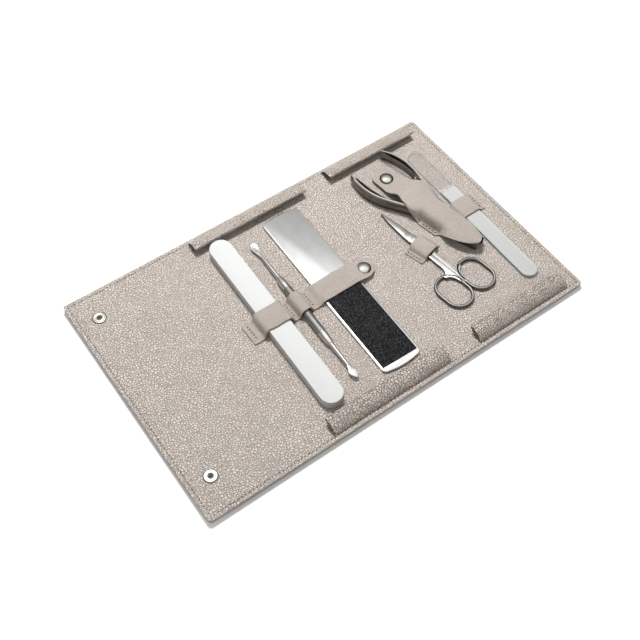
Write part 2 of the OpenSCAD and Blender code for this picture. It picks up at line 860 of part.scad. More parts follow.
// plan of the left jaw, which belongs to the right handle
module jaw_2d() {
  polygon([
    [-jaw_half + 0.9, 3], [-jaw_half, -0.22 * jaw_l], [-jaw_half + 0.2, -0.5 * jaw_l], [-jaw_half + 1.6, -0.75 * jaw_l],
    [-jaw_open - 0.9, -jaw_l], [-jaw_open, -jaw_l], [-jaw_open * 0.8 - 1.6, -0.7 * jaw_l], [-jaw_open * 0.6 - 1, -0.45 * jaw_l], [-1.4, -7], [-1.4, 0]
  ]);
}

// one lever: z0 is its joint disc's lower face, and the other lever's disc is kept clear
module lever(z0) {
  disc = half_joint - joint_gap / 2;
  difference() {
    union() {
      translate([0, 0, z0]) linear_extrude(disc) circle(joint_r);
      translate([0, 0, nipper_z]) linear_extrude(handle_b) handle_2d();
      translate([0, 0, nipper_z]) linear_extrude(jaw_b) jaw_2d();
    }
    translate([0, 0, nipper_z - 1]) cylinder(r = joint_r + 1.2, h = z0 - nipper_z + 1);
    translate([0, 0, z0 + disc]) cylinder(r = joint_r + 1.2, h = 20);
    children();
  }
}

nip_r = 2.4;

module nipper_right_lever() {
  color(steel) at_nippers() lever(nipper_z) {
    cylinder(r = nip_r, h = past);
    spring_hole();
  }
}

module nipper_left_lever() {
  color(steel) at_nippers() mirror([1, 0, 0]) lever(nipper_z + half_joint + joint_gap / 2) {
    cylinder(r = nip_r + pivot_play, h = past);
    spring_hole();
  }
}

module nipper_pivot_screw() {
  color(steel) at_nippers() {
    translate([0, 0, nipper_z]) cylinder(r = nip_r, h = joint_b + pivot_play);
    translate([0, 0, nipper_z + joint_b + pivot_play]) cylinder(r = nip_r + 1.2, h = 0.7);
  }
}

// each leaf spring is screwed to its handle's inner face and stands off it towards its free end
leaf_z = nipper_z + handle_b - leaf_b - 1.2;
leaf_v = bow_start[0] - (bow_start[1] - leaf_root) * tan(handle_angle);
leaf_l = handle_end - leaf_root - 8;
leaf_R = 95;
leaf_tilt = 14;
screw_r = 0.8;
screw_cover = 0.4;

// the screw's frame: on the handle's centre line, X across the bar towards the other handle
module at_leaf() {
  translate([leaf_v, leaf_root, leaf_z + leaf_b / 2]) rotate([0, 0, -handle_angle]) children();
}

module spring_hole() {
  at_leaf() rotate([0, -90, 0]) translate([0, 0, -handle_t / 2 + screw_cover]) cylinder(r = screw_r, h = handle_t * 3);
}

// a foot on the handle, then a leaf that leans and bows away from it
function leaf_off(s) = s * sin(leaf_tilt) + s * s / (2 * leaf_R);

module leaf() {
  face = -handle_t / 2;
  steps = 10;
  foot_end = 2.2;
  at_leaf() difference() {
    translate([0, 0, -leaf_b / 2]) linear_extrude(leaf_b) polygon(concat(
      [[face - leaf_t, -3], [face, -3], [face, foot_end]],
      [for (i = [1 : steps]) [face - leaf_off(leaf_l * i / steps), foot_end + leaf_l * i / steps * cos(leaf_tilt)]],
      [for (i = [steps : -1 : 0]) [face - leaf_t - leaf_off(leaf_l * i / steps), foot_end + leaf_l * i / steps * cos(leaf_tilt)]]
    ));
    translate([face + 1, 0, 0]) rotate([0, -90, 0]) cylinder(r = screw_r, h = leaf_t + 2);
  }
}

module spring_screw() {
  at_leaf() rotate([0, -90, 0]) {
    translate([0, 0, -handle_t / 2 + screw_cover]) cylinder(r = screw_r, h = handle_t + leaf_t - screw_cover);
    translate([0, 0, handle_t / 2 + leaf_t]) cylinder(r = screw_r + 0.5, h = 0.5);
  }
}

module nipper_leaf_springs_right() {
  color(steel) at_nippers() leaf();
}

module nipper_leaf_springs_left() {
  color(steel) at_nippers() mirror([1, 0, 0]) leaf();
}

module nipper_spring_screw_right() {
  color(steel) at_nippers() spring_screw();
}

module nipper_spring_screw_left() {
  color(steel) at_nippers() mirror([1, 0, 0]) spring_screw();
}

// ---------- holster ----------

glass_cx = right_x + glass_x;
glass_half = glass_w / 2 + loop_play + 0.3;
glass_loop_x0 = glass_cx - glass_half - strap_t - 1.0;

cover_z = nipper_z + handle_b + loop_play;
// how far the cover's right side leans out towards its seam
holster_slope = 2.8;
tab_u0 = -6;
hinge_z = cover_z + strap_t / 2;

// the cover over the joint, its left tab sewn to the lining
module holster_arch_2d() {
  h = cover_z - top_z;
  difference() {
    polygon([[-holster_half - holster_tail, 0], [-holster_half - holster_tail, strap_t], [-holster_half - strap_t - 0.6, strap_t], [-holster_half - strap_t, h + strap_t],
      [holster_half + strap_t / 2, h + strap_t], [holster_half + holster_slope + 2.2, 0]]);
    polygon([[-holster_half - 0.6, -1], [-holster_half - 0.6, 0], [-holster_half, h], [holster_half, h], [holster_half + holster_slope, 0], [holster_half + holster_slope, -1]]);
  }
}

module nipper_holster() {
  color(leather) difference() {
    holster_body();
    // its seam stops at the glass file's loop
    place() translate([glass_loop_x0 - rest_gap, 0, 0]) cube([past, case_w, past]);
  }
}

// the cover over the jaws slopes towards their tips
nose_l = jaw_l - 3.5;
nose_slope = 3.5;

module holster_body() {
  at_nippers() {
    along_y(tab_u0, tab_l) translate([0, top_z]) holster_arch_2d();
    // the cover runs on over the handles to the tongue
    y1 = tab_u0 + tab_l;
    translate([0, 0, cover_z]) linear_extrude(strap_t)
      polygon([[-holster_half - strap_t, y1 - eps], [-holster_half - strap_t, 18], [-holster_half, tongue_hinge - tongue_gap],
        [holster_tongue_w / 2 + tongue_side + 2, tongue_hinge - tongue_gap], [holster_half + 4.6, 18], [holster_half, y1 - eps]]);
    // and down over the jaws
    translate([0, tab_u0, cover_z]) rotate([nose_slope, 0, 0]) linear_extrude(strap_t)
      polygon([[-holster_half - strap_t, 0.1], [-holster_half - strap_t / 2, -0.31 * nose_l], [-jaw_half + 1, -0.62 * nose_l],
        [-1.5, -0.89 * nose_l], [3, -nose_l], [jaw_half - 0.8, -0.86 * nose_l], [holster_half + 2, -0.37 * nose_l], [holster_half, 0.1]]);
  }
}

// the tongue comes down between the handles to its snap
h_snap_u = handle_wide + 0.3;
h_snap_v = tongue_side;
ramp_u0 = 30;
ramp_u1 = 45;
h_tongue_end = tongue_hinge + holster_tongue_l;

module holster_tongue_2d() {
  polygon([
    [tongue_hinge, cover_z], [ramp_u0, cover_z], [ramp_u1, snap_z], [h_tongue_end, snap_z],
    [h_tongue_end, snap_z + strap_t], [ramp_u1 + 0.5, snap_z + strap_t], [ramp_u0 + 0.9, cover_z + strap_t], [tongue_hinge, cover_z + strap_t]
  ]);
}

module nipper_holster_tongue() {
  w = holster_tongue_w;
  color(leather) at_nippers() difference() {
    intersection() {
      translate([-past / 2, 0, 0]) rotate([90, 0, 90]) linear_extrude(past) holster_tongue_2d();
      translate([tongue_side, 0, 0]) rotate([0, 0, 90]) linear_extrude(past)
        sheet_2d(tongue_hinge, h_tongue_end, -w / 2, w / 2, 0, holster_tongue_r);
    }
    translate([h_snap_v, h_snap_u, 0]) cylinder(r = 1.2, h = past);
  }
}

module holster_snap_cap() {
  color(steel) at_nippers() translate([h_snap_v, h_snap_u, 0]) snap_cap(snap_z + strap_t);
}

module holster_snap_socket() {
  color(steel) at_nippers() translate([h_snap_v, h_snap_u, 0]) snap_socket(snap_z - socket_h);
}

module holster_snap_stud() {
  color(steel) at_nippers() translate([h_snap_v, h_snap_u, 0]) snap_stud(top_z);
}

// ---------- glass file ----------

module glass_file() {
  color(glass) place() translate([glass_cx, glass_y, top_z]) rotate([0, 0, glass_lean]) linear_extrude(glass_t) bar_2d(glass_l, glass_w);
}

module glass_file_loop() {
  color(leather) place() translate([glass_cx, 0, top_z]) along_y(glass_loop_y, glass_loop_w)
    run_2d(glass_loop_x0 - glass_cx, glass_half + glass_tail, glass_half, glass_t + loop_play, 0.8, strap_t);
}

left_panel_outer_leather();
left_panel_board();
left_panel_lining();
left_spine_outer_leather();
left_spine_lining();
middle_panel_outer_leather();
middle_panel_board();
middle_panel_lining();
right_spine_outer_leather();
right_spine_lining();
right_panel_outer_leather();
right_panel_board();
right_panel_lining();
middle_top_flap();
middle_bottom_flap();
right_top_flap();
right_bottom_flap();
file_strap();
file_strap_tongue();
strap_snap_cap();
strap_snap_socket();
strap_snap_stud();
closing_snap_caps();
closing_snap_sockets();
closing_snap_studs();
nail_file_core();
nail_file_top_abrasive();
nail_file_bottom_abrasive();
pusher_grip();
pusher_spoon_end();
pusher_blade_end();
foot_file_plate();
foot_file_abrasive_pad();
scissors_loop();
scissors_lower_blade();
scissors_upper_blade();
scissors_pivot_screw();
nipper_holster();
nipper_holster_tongue();
holster_snap_cap();
holster_snap_socket();
holster_snap_stud();
nipper_right_lever();
nipper_left_lever();
nipper_pivot_screw();
nipper_leaf_springs_right();
nipper_leaf_springs_left();
nipper_spring_screw_right();
nipper_spring_screw_left();
glass_file();
glass_file_loop();
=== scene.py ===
"""Manicure set case: leather case lying open, tools in their loops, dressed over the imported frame."""
import json
import math

import bpy
import bmesh
from mathutils import Matrix, Vector, noise


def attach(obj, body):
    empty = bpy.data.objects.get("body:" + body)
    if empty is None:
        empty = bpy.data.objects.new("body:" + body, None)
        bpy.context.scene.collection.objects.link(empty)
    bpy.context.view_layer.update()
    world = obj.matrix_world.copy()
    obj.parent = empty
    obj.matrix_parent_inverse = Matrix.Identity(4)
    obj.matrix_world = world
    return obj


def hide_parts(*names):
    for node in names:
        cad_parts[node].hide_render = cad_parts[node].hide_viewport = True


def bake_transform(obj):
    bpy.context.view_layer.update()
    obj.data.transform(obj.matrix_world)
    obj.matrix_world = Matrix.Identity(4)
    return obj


# ---------- sizes, in millimetres, in the case's own coordinates (lower left corner, lining up) ----------
MM = 0.001
CASE_L, CASE_W = 310.0, 194.0
TOP = 3.0                               # the lining's face
FOOT_TOP = 4.22                         # the face of a strap's sewn-down foot
LEFT_FOLD = (67.6, 91.0)                # hinge lines of the left spine
RIGHT_FOLD = (198.0, 217.5)             # hinge lines of the right spine
SEAM_IN = 3.0                           # stitch row inside the edge
CLOSING_CAP_X, CLOSING_STUD_X = 17.0, 273.9
CLOSING_SNAP_Y = (26.0, 171.0)
SNAP_SEAT = 4.86                        # radius of the seats that the closing snaps' outside halves sit in
MERGE, LATHE_MERGE = 0.004, 0.003       # points closer than this become one
LATHE_STEPS = 48

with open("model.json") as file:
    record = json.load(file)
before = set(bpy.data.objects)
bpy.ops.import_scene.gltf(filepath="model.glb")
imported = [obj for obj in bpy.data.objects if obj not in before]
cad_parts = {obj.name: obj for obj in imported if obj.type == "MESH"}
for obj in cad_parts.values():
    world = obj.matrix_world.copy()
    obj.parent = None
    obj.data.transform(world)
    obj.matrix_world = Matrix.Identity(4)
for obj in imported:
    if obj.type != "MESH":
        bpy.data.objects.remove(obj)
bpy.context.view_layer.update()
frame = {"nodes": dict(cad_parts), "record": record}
CASE = Matrix.Scale(MM, 4) @ Matrix.Translation((-CASE_L / 2, -CASE_W / 2, 0))


def spot(x, y, z=0.0):
    """A point of the case, in the frame's metres."""
    return CASE @ Vector((x, y, z))


# ---------- node helpers ----------

MIX_LOW, MIX_HIGH, MIX_RESULT = 6, 7, 2     # a Mix node's colour sockets


def feed(node, inputs):
    """Joins a node's inputs to sockets, or sets them to values."""
    for key, value in inputs.items():
        if isinstance(value, bpy.types.NodeSocket):
            node.id_data.links.new(value, node.inputs[key])
        else:
            node.inputs[key].default_value = value


def node_adder(tree):
    """What adds a node to this tree, sets it and feeds its inputs."""
    def add(kind, inputs=None, **settings):
        node = tree.nodes.new("ShaderNode" + kind)
        for key, value in settings.items():
            setattr(node, key, value)
        feed(node, inputs or {})
        return node
    return add


def new_material(name):
    """A material, what adds nodes to it, its shader and its object coordinates."""
    material = bpy.data.materials.new(name)
    material.use_nodes = True
    add = node_adder(material.node_tree)
    shader = material.node_tree.nodes["Principled BSDF"]
    return material, add, shader, add("TexCoord").outputs["Object"]


def new_group(name, inputs, outputs):
    """A node group, what adds nodes to it, what it is given, and the node that takes its results."""
    tree = bpy.data.node_groups.new(name, "ShaderNodeTree")
    for label, kind, value in inputs:
        made = tree.interface.new_socket(name=label, in_out="INPUT", socket_type="NodeSocket" + kind)
        if value is not None:
            made.default_value = value
    for label in outputs:
        tree.interface.new_socket(name=label, in_out="OUTPUT", socket_type="NodeSocketFloat")
    given = tree.nodes.new("NodeGroupInput").outputs
    return tree, node_adder(tree), given, tree.nodes.new("NodeGroupOutput")


def two_tone(add, factor, low, high, start=0.3, end=0.7):
    """A colour that goes from low to high as the factor goes from start to end."""
    node = add("ValToRGB", {"Fac": factor})
    for i, (position, colour) in enumerate(((start, low), (end, high))):
        stop = node.color_ramp.elements[i]
        stop.position = position
        stop.color = (*colour, 1)
    return node.outputs["Color"]


def mixed(add, factor, low, high):
    """A colour between two others."""
    return add("Mix", {0: factor, MIX_LOW: low, MIX_HIGH: high}, data_type="RGBA").outputs[MIX_RESULT]


# ---------- modelling helpers ----------

def begin():
    """Object mode, with nothing selected."""
    if bpy.context.object and bpy.context.object.mode != "OBJECT":
        bpy.ops.object.mode_set(mode="OBJECT")
    bpy.ops.object.select_all(action="DESELECT")


def pick(piece):
    """Makes one piece the only one selected, and the active one."""
    begin()
    piece.select_set(True)
    bpy.context.view_layer.objects.active = piece


def open_mesh(piece):
    """Goes into edit mode with the whole mesh selected."""
    pick(piece)
    bpy.ops.object.mode_set(mode="EDIT")
    bpy.ops.mesh.select_all(action="SELECT")


def pick_border():
    """Selects a mesh's open edges alone."""
    bpy.ops.mesh.select_all(action="DESELECT")
    bpy.ops.mesh.select_non_manifold(extend=False, use_wire=False, use_multi_face=False,
                                     use_non_contiguous=False, use_verts=False)


def close_mesh():
    """Turns the faces outwards and leaves edit mode."""
    bpy.ops.mesh.select_all(action="SELECT")
    bpy.ops.mesh.normals_make_consistent(inside=False)
    bpy.ops.object.mode_set(mode="OBJECT")


def dress(piece, *materials):
    """Gives a piece its materials, without touching which face has which."""
    while len(piece.data.materials):
        piece.data.materials.pop()
    for material in materials:
        piece.data.materials.append(material)
    return piece


def bent_grid(name, across, along, shape, closed=False, caps=False):
    """A grid primitive whose points are carried to shape(s, t), s and t from 0 to 1.

    Where it is closed, the edges that meet are merged; with caps, its open ends are filled.
    """
    begin()
    bpy.ops.mesh.primitive_grid_add(x_subdivisions=across, y_subdivisions=along, size=1)
    piece = bpy.context.object
    piece.name = name
    for v in piece.data.vertices:
        v.co = shape(v.co.x + 0.5, v.co.y + 0.5)
    if closed:
        open_mesh(piece)
        bpy.ops.mesh.remove_doubles(threshold=MERGE)
        if caps:
            pick_border()
            bpy.ops.mesh.edge_face_add()
        close_mesh()
    return piece


def modify(piece, kind, **settings):
    """Gives a piece a modifier and applies it."""
    pick(piece)
    modifier = piece.modifiers.new("work", kind)
    for key, value in settings.items():
        setattr(modifier, key, value)
    bpy.ops.object.modifier_apply(modifier=modifier.name)


def smooth(piece, angle):
    """Smooth shading, except over edges sharper than some degrees."""
    pick(piece)
    bpy.ops.object.shade_smooth_by_angle(angle=math.radians(angle))
    return piece


def set_down(piece, place=None):
    """Carries a piece's millimetre mesh into the frame."""
    piece.data.transform(CASE @ place if place is not None else CASE)
    piece.matrix_world = Matrix.Identity(4)
    piece.data.update()
    return piece


def hand_in(piece, nodes, slot, body, place=None):
    """Sets a finished piece down, hides the frame's solids it replaces and hangs it on what it rides on; the finish
    slot it is given is not used.
    """
    set_down(piece, place)
    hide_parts(*nodes)
    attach(piece, body)


def join(name, pieces):
    """Makes one piece of several, under the given name."""
    begin()
    for piece in pieces:
        piece.select_set(True)
    bpy.context.view_layer.objects.active = pieces[0]
    if len(pieces) > 1:
        bpy.ops.object.join()
    pieces[0].name = name
    return pieces[0]


def cut_plate(name, outline, z0, z1, rim, segments=2):
    """A plate of one outline, extruded and with its rims bevelled."""
    begin()
    bpy.ops.mesh.primitive_circle_add(vertices=len(outline), radius=1, fill_type="NGON")
    piece = bpy.context.object
    piece.name = name
    for v, (x, y) in zip(piece.data.vertices, outline):
        v.co = (x, y, z0)
    open_mesh(piece)
    bpy.ops.mesh.extrude_region_move(TRANSFORM_OT_translate={"value": (0, 0, z1 - z0)})
    close_mesh()
    if rim:
        modify(piece, "BEVEL", width=rim, segments=segments, limit_method="ANGLE", angle_limit=math.radians(50))
    return smooth(piece, 35)


def curve_through(points, per=5):
    """Points of a smooth open line through the given ones."""
    last = len(points) - 1
    out = []
    for i in range(last):
        a, b, c, d = (Vector(points[min(max(i + k, 0), last)]) for k in (-1, 0, 1, 2))
        for j in range(per):
            t = j / per
            out.append(0.5 * ((2 * b) + (c - a) * t + (2 * a - 5 * b + 4 * c - d) * t * t
                              + (3 * b - a - 3 * c + d) * t ** 3))
    out.append(Vector(points[-1]))
    return out


def eased(points, step, turns=6):
    """A polyline at even steps with its corners rounded: each point is (position..., rounding)."""
    line = []
    n = len(points)
    for i, item in enumerate(points):
        p, r = Vector(item[:-1]), item[-1]
        if i in (0, n - 1) or r == 0:
            line.append(p)
            continue
        a, b = Vector(points[i - 1][:-1]), Vector(points[i + 1][:-1])
        p0 = p + (a - p).normalized() * min(r, (a - p).length / 2)
        p1 = p + (b - p).normalized() * min(r, (b - p).length / 2)
        for j in range(turns + 1):
            t = j / turns
            line.append(p0 * (1 - t) ** 2 + p * 2 * t * (1 - t) + p1 * t * t)
    return even(line, step)


def even(line, step):
    """The same line at even steps."""
    lengths = [0.0]
    for a, b in zip(line, line[1:]):
        lengths.append(lengths[-1] + (b - a).length)
    count = max(2, int(round(lengths[-1] / step)))
    out, k = [], 0
    for i in range(count + 1):
        want = lengths[-1] * i / count
        while k < len(lengths) - 2 and lengths[k + 1] < want:
            k += 1
        span = lengths[k + 1] - lengths[k]
        out.append(line[k].lerp(line[k + 1], (want - lengths[k]) / span if span else 0))
    return out


def round_section(half_w, half_t, r, per=3):
    """A rounded rectangle, as a closed ring of points."""
    ring = []
    for sx, sz, start in ((1, 1, 0), (-1, 1, 90), (-1, -1, 180), (1, -1, 270)):
        for j in range(per + 1):
            a = math.radians(start + 90 * j / per)
            ring.append((sx * (half_w - r) + r * math.cos(a), sz * (half_t - r) + r * math.sin(a)))
    return ring


def swept(name, path, section, side=None):
    """A ring section carried along a path, with filled ends.

    section(i, f) gives the ring at step i, fraction f; side is the section's x direction, where it is fixed.
    """
    n = len(path)
    rings = []
    for i, p in enumerate(path):
        ahead = (path[min(i + 1, n - 1)] - path[max(i - 1, 0)]).normalized()
        x = Vector((0, 0, 1)).cross(ahead) if side is None else side
        x = (x - ahead * x.dot(ahead)).normalized()
        z = x.cross(ahead).normalized()
        rings.append([p + x * a + z * b for a, b in section(i, i / (n - 1))])
    m = len(rings[0])

    def shape(s, t):
        return rings[int(round(t * (n - 1)))][int(round(s * m)) % m]
    return bent_grid(name, m, n - 1, shape, closed=True, caps=True)


def closed_tube(name, path, ring):
    """A ring section carried round a closed path that lies flat."""
    n, m = len(path), len(ring)
    rings = []
    for i in range(n):
        ahead = (path[(i + 1) % n] - path[i - 1]).normalized()
        out = Vector((ahead.y, -ahead.x, 0))
        rings.append([path[i] + out * a + Vector((0, 0, b)) for a, b in ring])

    def shape(s, t):
        return rings[int(round(t * n)) % n][int(round(s * m)) % m]
    return bent_grid(name, m, n, shape, closed=True)


def lathe(profile, *materials, place=None):
    """(radius, height) pairs spun about Z with the spin operator, dressed and moved to their place."""
    begin()
    bpy.ops.mesh.primitive_circle_add(vertices=len(profile), radius=1, fill_type="NOTHING")
    piece = bpy.context.object
    for v, (r, h) in zip(piece.data.vertices, profile):
        v.co = (r, 0, h)
    open_mesh(piece)
    bm = bmesh.from_edit_mesh(piece.data)
    bm.edges.ensure_lookup_table()
    last = [e for e in bm.edges if {e.verts[0].index, e.verts[1].index} == {0, len(profile) - 1}]
    bmesh.ops.delete(bm, geom=last, context="EDGES")
    bmesh.update_edit_mesh(piece.data)
    bpy.ops.mesh.select_all(action="SELECT")
    bpy.ops.mesh.spin(steps=LATHE_STEPS, angle=2 * math.pi, center=(0, 0, 0), axis=(0, 0, 1))
    bpy.ops.mesh.select_all(action="SELECT")
    bpy.ops.mesh.remove_doubles(threshold=LATHE_MERGE)
    close_mesh()
    smooth(piece, 35)
    if place is not None:
        piece.data.transform(place)
    return dress(piece, *materials)


def shifted(x, y, z=0.0):
    """A place on the case, or on a tool."""
    return Matrix.Translation((x, y, z))


def leaning(x, y, z, lean):
    """A place on the case, turned by some degrees."""
    return shifted(x, y, z) @ Matrix.Rotation(math.radians(lean), 4, "Z")


def bar_outline(length, width, arc):
    """A flat bar with half-round ends."""
    r = width / 2
    out = []
    for cy, start in ((length / 2 - r, 0), (-length / 2 + r, 180)):
        for i in range(arc + 1):
            a = math.radians(start + 180 * i / arc)
            out.append((r * math.cos(a), cy + r * math.sin(a)))
    return out


# ---------- camera, light, floor ----------

IMAGE_PIXELS, FOCAL_PIXELS, SENSOR = 640, 982.7, 36.0
AIM = (141.3, 83.3)                     # the case's point in the middle of the picture
AZIMUTH, ELEVATION, DISTANCE = -35.35, 56.59, 0.6809
# brightness of the mirrored studio against height, 0 at the horizon and 1 overhead
STUDIO = ((0.001, 0.16), (0.22, 0.22), (0.45, 0.34), (0.70, 0.70), (0.80, 1.30), (0.86, 1.32), (0.999, 1.1))
WINDOW = (0.14, 0.36, 0.86)             # the window lamp's place, and the glint that stands for it in metal
WINDOW_GLINT = 3.0
GLINT_EDGE, GLINT_CORE = 0.976, 0.998   # cosines of the angles off the window
FILL_LIGHT = 0.34
KEY_WATTS, FRONT_SHARE = 9.5, 0.15
FLOOR_Z, FLOOR_SIZE = -0.0015, 6.0
NEAR_GLOW, FAR_GLOW = 0.09, 0.6         # the floor's glow under the case and away from it
GLOW_START, GLOW_FULL = 0.16, 0.36      # distances from the middle, in metres


def set_camera():
    """The photograph's viewing angle."""
    data = bpy.data.cameras.new("photo_camera")
    data.sensor_width = SENSOR
    data.lens = FOCAL_PIXELS / IMAGE_PIXELS * SENSOR
    cam = bpy.data.objects.new("photo_camera", data)
    bpy.context.scene.collection.objects.link(cam)
    azimuth, elevation = math.radians(AZIMUTH), math.radians(ELEVATION)
    back = Vector((math.sin(azimuth) * math.cos(elevation), -math.cos(azimuth) * math.cos(elevation),
                   math.sin(elevation)))
    cam.location = spot(*AIM) + back * DISTANCE
    cam.rotation_euler = back.to_track_quat("Z", "Y").to_euler()
    bpy.context.scene.camera = cam


def set_world():
    """White where it is seen directly, an even fill for the shading, and in reflections a studio that
    darkens downwards and has a window in it."""
    world = bpy.data.worlds.new("studio")
    bpy.context.scene.world = world
    world.use_nodes = True
    add = node_adder(world.node_tree)
    ray = add("LightPath").outputs
    where = add("TexCoord").outputs["Generated"]
    height = add("ValToRGB", {"Fac": add("SeparateXYZ", {0: where}).outputs["Z"]})
    stops = height.color_ramp.elements
    for position, value in STUDIO:
        stops.new(position).color = (value, value, value, 1)
    stops.remove(stops[0])
    stops.remove(stops[-1])
    toward = add("VectorMath", {0: where, 1: Vector(WINDOW).normalized()}, operation="DOT_PRODUCT")
    pane = add("MapRange", {"Value": toward.outputs["Value"], "From Min": GLINT_EDGE, "From Max": GLINT_CORE,
                            "To Min": 0.0, "To Max": WINDOW_GLINT}, interpolation_type="SMOOTHSTEP")
    mirror = add("Math", {0: height.outputs["Color"], 1: pane.outputs[0]}).outputs[0]
    strength = FILL_LIGHT
    for flag, value in (("Is Glossy Ray", mirror), ("Is Camera Ray", 1.0), ("Is Transmission Ray", 1.0)):
        strength = add("MapRange", {"Value": ray[flag], "To Min": strength, "To Max": value}).outputs[0]
    feed(world.node_tree.nodes["Background"], {"Color": (1, 1, 1, 1), "Strength": strength})


def lamp(name, place, size, watts):
    """A soft rectangle that shines at the case and isn't mirrored in it."""
    data = bpy.data.lights.new(name, "AREA")
    data.shape = "RECTANGLE"
    data.size, data.size_y = size
    data.energy = watts
    light = bpy.data.objects.new(name, data)
    bpy.context.scene.collection.objects.link(light)
    light.location = place
    light.visible_glossy = False
    light.rotation_euler = Vector(place).to_track_quat("Z", "Y").to_euler()


def set_stage():
    """A pale floor that keeps the case's shadow and turns white further out, and two soft lamps."""
    begin()
    bpy.ops.mesh.primitive_plane_add(size=FLOOR_SIZE, location=(0, 0, FLOOR_Z))
    floor = bpy.context.object
    floor.name = "floor"
    material, add, shader, position = new_material("pale floor")
    ray = add("LightPath").outputs
    shown = ray["Is Camera Ray"]
    for flag in ("Is Glossy Ray", "Is Transmission Ray"):
        shown = add("Math", {0: shown, 1: ray[flag]}, operation="MAXIMUM").outputs[0]
    away = add("VectorMath", {0: position}, operation="LENGTH").outputs["Value"]
    spread = add("MapRange", {"Value": away, "From Min": GLOW_START, "From Max": GLOW_FULL,
                              "To Min": NEAR_GLOW, "To Max": FAR_GLOW})
    glow = add("Math", {0: shown, 1: spread.outputs[0]}, operation="MULTIPLY").outputs[0]
    feed(shader, {"Base Color": (0.9, 0.9, 0.9, 1), "Roughness": 0.9, "Emission Color": (1, 1, 1, 1),
                  "Emission Strength": glow})
    dress(floor, material)
    lamp("window_light", WINDOW, (0.22, 0.18), KEY_WATTS)
    lamp("soft_front_light", (-0.5, -0.7, 0.9), (0.9, 0.9), KEY_WATTS * FRONT_SHARE)


bpy.context.scene.view_settings.view_transform = "Standard"
set_camera()
set_world()
set_stage()


# ---------- materials ----------

DOME_SHEEN_TINT = 1.32                        # how much paler the pebbles' tops are painted, as a painted sheen
CREASE_SHADE_TINT = 0.6                       # how much of the creases' painted shade colour shows


def build_pebble_group():
    """Pebbled leather grain: height, creases between the pebbles, slow patches of tone, and domes."""
    tree, add, given, result = new_group(
        "pebble grain", (("Position", "Vector", None), ("Pebbles per metre", "Float", 620.0),
                         ("Irregularity", "Float", 0.0007)), ("Height", "Crease", "Patch", "Dome"))

    def cloud(scale, detail):
        return add("TexNoise", {"Vector": given["Position"], "Scale": scale, "Detail": detail}).outputs
    centred = add("VectorMath", {0: cloud(260.0, 2.0)["Color"], 1: (0.5, 0.5, 0.5)}, operation="SUBTRACT")
    sway = add("VectorMath", {0: centred.outputs[0], "Scale": given["Irregularity"]}, operation="SCALE")
    warped = add("VectorMath", {0: given["Position"], 1: sway.outputs[0]}, operation="ADD")
    edge = add("TexVoronoi", {"Vector": warped.outputs[0], "Scale": given["Pebbles per metre"],
                              "Randomness": 1.0}, feature="DISTANCE_TO_EDGE").outputs["Distance"]
    dome = add("MapRange", {"Value": edge, "From Min": 0.0, "From Max": 0.17, "To Min": 0.0, "To Max": 1.0},
               interpolation_type="SMOOTHSTEP").outputs[0]
    groove = add("MapRange", {"Value": edge, "From Min": 0.0, "From Max": 0.13, "To Min": 1.0, "To Max": 0.0})
    fine = add("Math", {0: cloud(2600.0, 3.0)["Fac"], 1: 0.22, 2: dome}, operation="MULTIPLY_ADD")
    swell = add("Math", {0: cloud(180.0, 2.0)["Fac"], 1: 0.35, 2: fine.outputs[0]}, operation="MULTIPLY_ADD")
    feed(result, {"Height": swell.outputs[0], "Crease": groove.outputs[0], "Patch": cloud(34.0, 3.0)["Fac"],
                  "Dome": dome})
    return tree


def build_marks_group():
    """Small blotches and fine scratches for metal."""
    tree, add, given, result = new_group(
        "handling marks", (("Position", "Vector", None), ("Direction", "Vector", (1.0, 1.0, 1.0))),
        ("Blotch", "Scratch"))
    blotch = add("TexNoise", {"Vector": given["Position"], "Scale": 140.0, "Detail": 4.0})
    drawn = add("VectorMath", {0: given["Position"], 1: given["Direction"]}, operation="MULTIPLY")
    scratch = add("TexNoise", {"Vector": drawn.outputs[0], "Scale": 2400.0, "Detail": 3.0})
    feed(result, {"Blotch": blotch.outputs["Fac"], "Scratch": scratch.outputs["Fac"]})
    return tree


PEBBLE = build_pebble_group()
MARKS = build_marks_group()


def leather_material(name, light, dark, crease, pebbles, depth, rough=0.62, strength=0.85, dome_sheen=0.35):
    """Grained leather, patchy between two tones, with a painted sheen on the pebbles' domes and painted shade in its
    darker, duller creases.
    """
    material, add, shader, position = new_material(name)
    grain = add("Group", {"Position": position, "Pebbles per metre": pebbles}, node_tree=PEBBLE).outputs
    painted_sheen = add("Math", {0: grain["Dome"], 1: dome_sheen}, operation="MULTIPLY")
    sheen_colour = [min(1.0, c * DOME_SHEEN_TINT) for c in light]
    with_sheen = mixed(add, painted_sheen.outputs[0], two_tone(add, grain["Patch"], dark, light), (*sheen_colour, 1))
    crease_shade = add("Math", {0: grain["Crease"], 1: CREASE_SHADE_TINT}, operation="MULTIPLY")
    gloss = add("MapRange", {"Value": grain["Crease"], "To Min": rough, "To Max": rough + 0.15})
    bump = add("Bump", {"Strength": strength, "Distance": depth, "Height": grain["Height"]})
    feed(shader, {"Base Color": mixed(add, crease_shade.outputs[0], with_sheen, (*crease, 1)), "Roughness": gloss.outputs[0],
                  "Specular IOR Level": 0.25, "Normal": bump.outputs[0]})
    return material


def metal_material(name, light, dark, rough, spread=0.06, direction=(1, 1, 1), bump_mm=0.004, strength=0.15):
    """Metal with blotches of handling and fine scratches, drawn out where direction is small."""
    material, add, shader, position = new_material(name)
    marks = add("Group", {"Position": position, "Direction": direction}, node_tree=MARKS).outputs
    finish = add("MapRange", {"Value": marks["Scratch"], "From Min": 0.3, "From Max": 0.7,
                              "To Min": rough, "To Max": rough + spread})
    bump = add("Bump", {"Strength": strength, "Distance": bump_mm * MM, "Height": marks["Scratch"]})
    feed(shader, {"Base Color": two_tone(add, marks["Blotch"], dark, light), "Metallic": 1.0,
                  "Roughness": finish.outputs[0], "Normal": bump.outputs[0]})
    return material


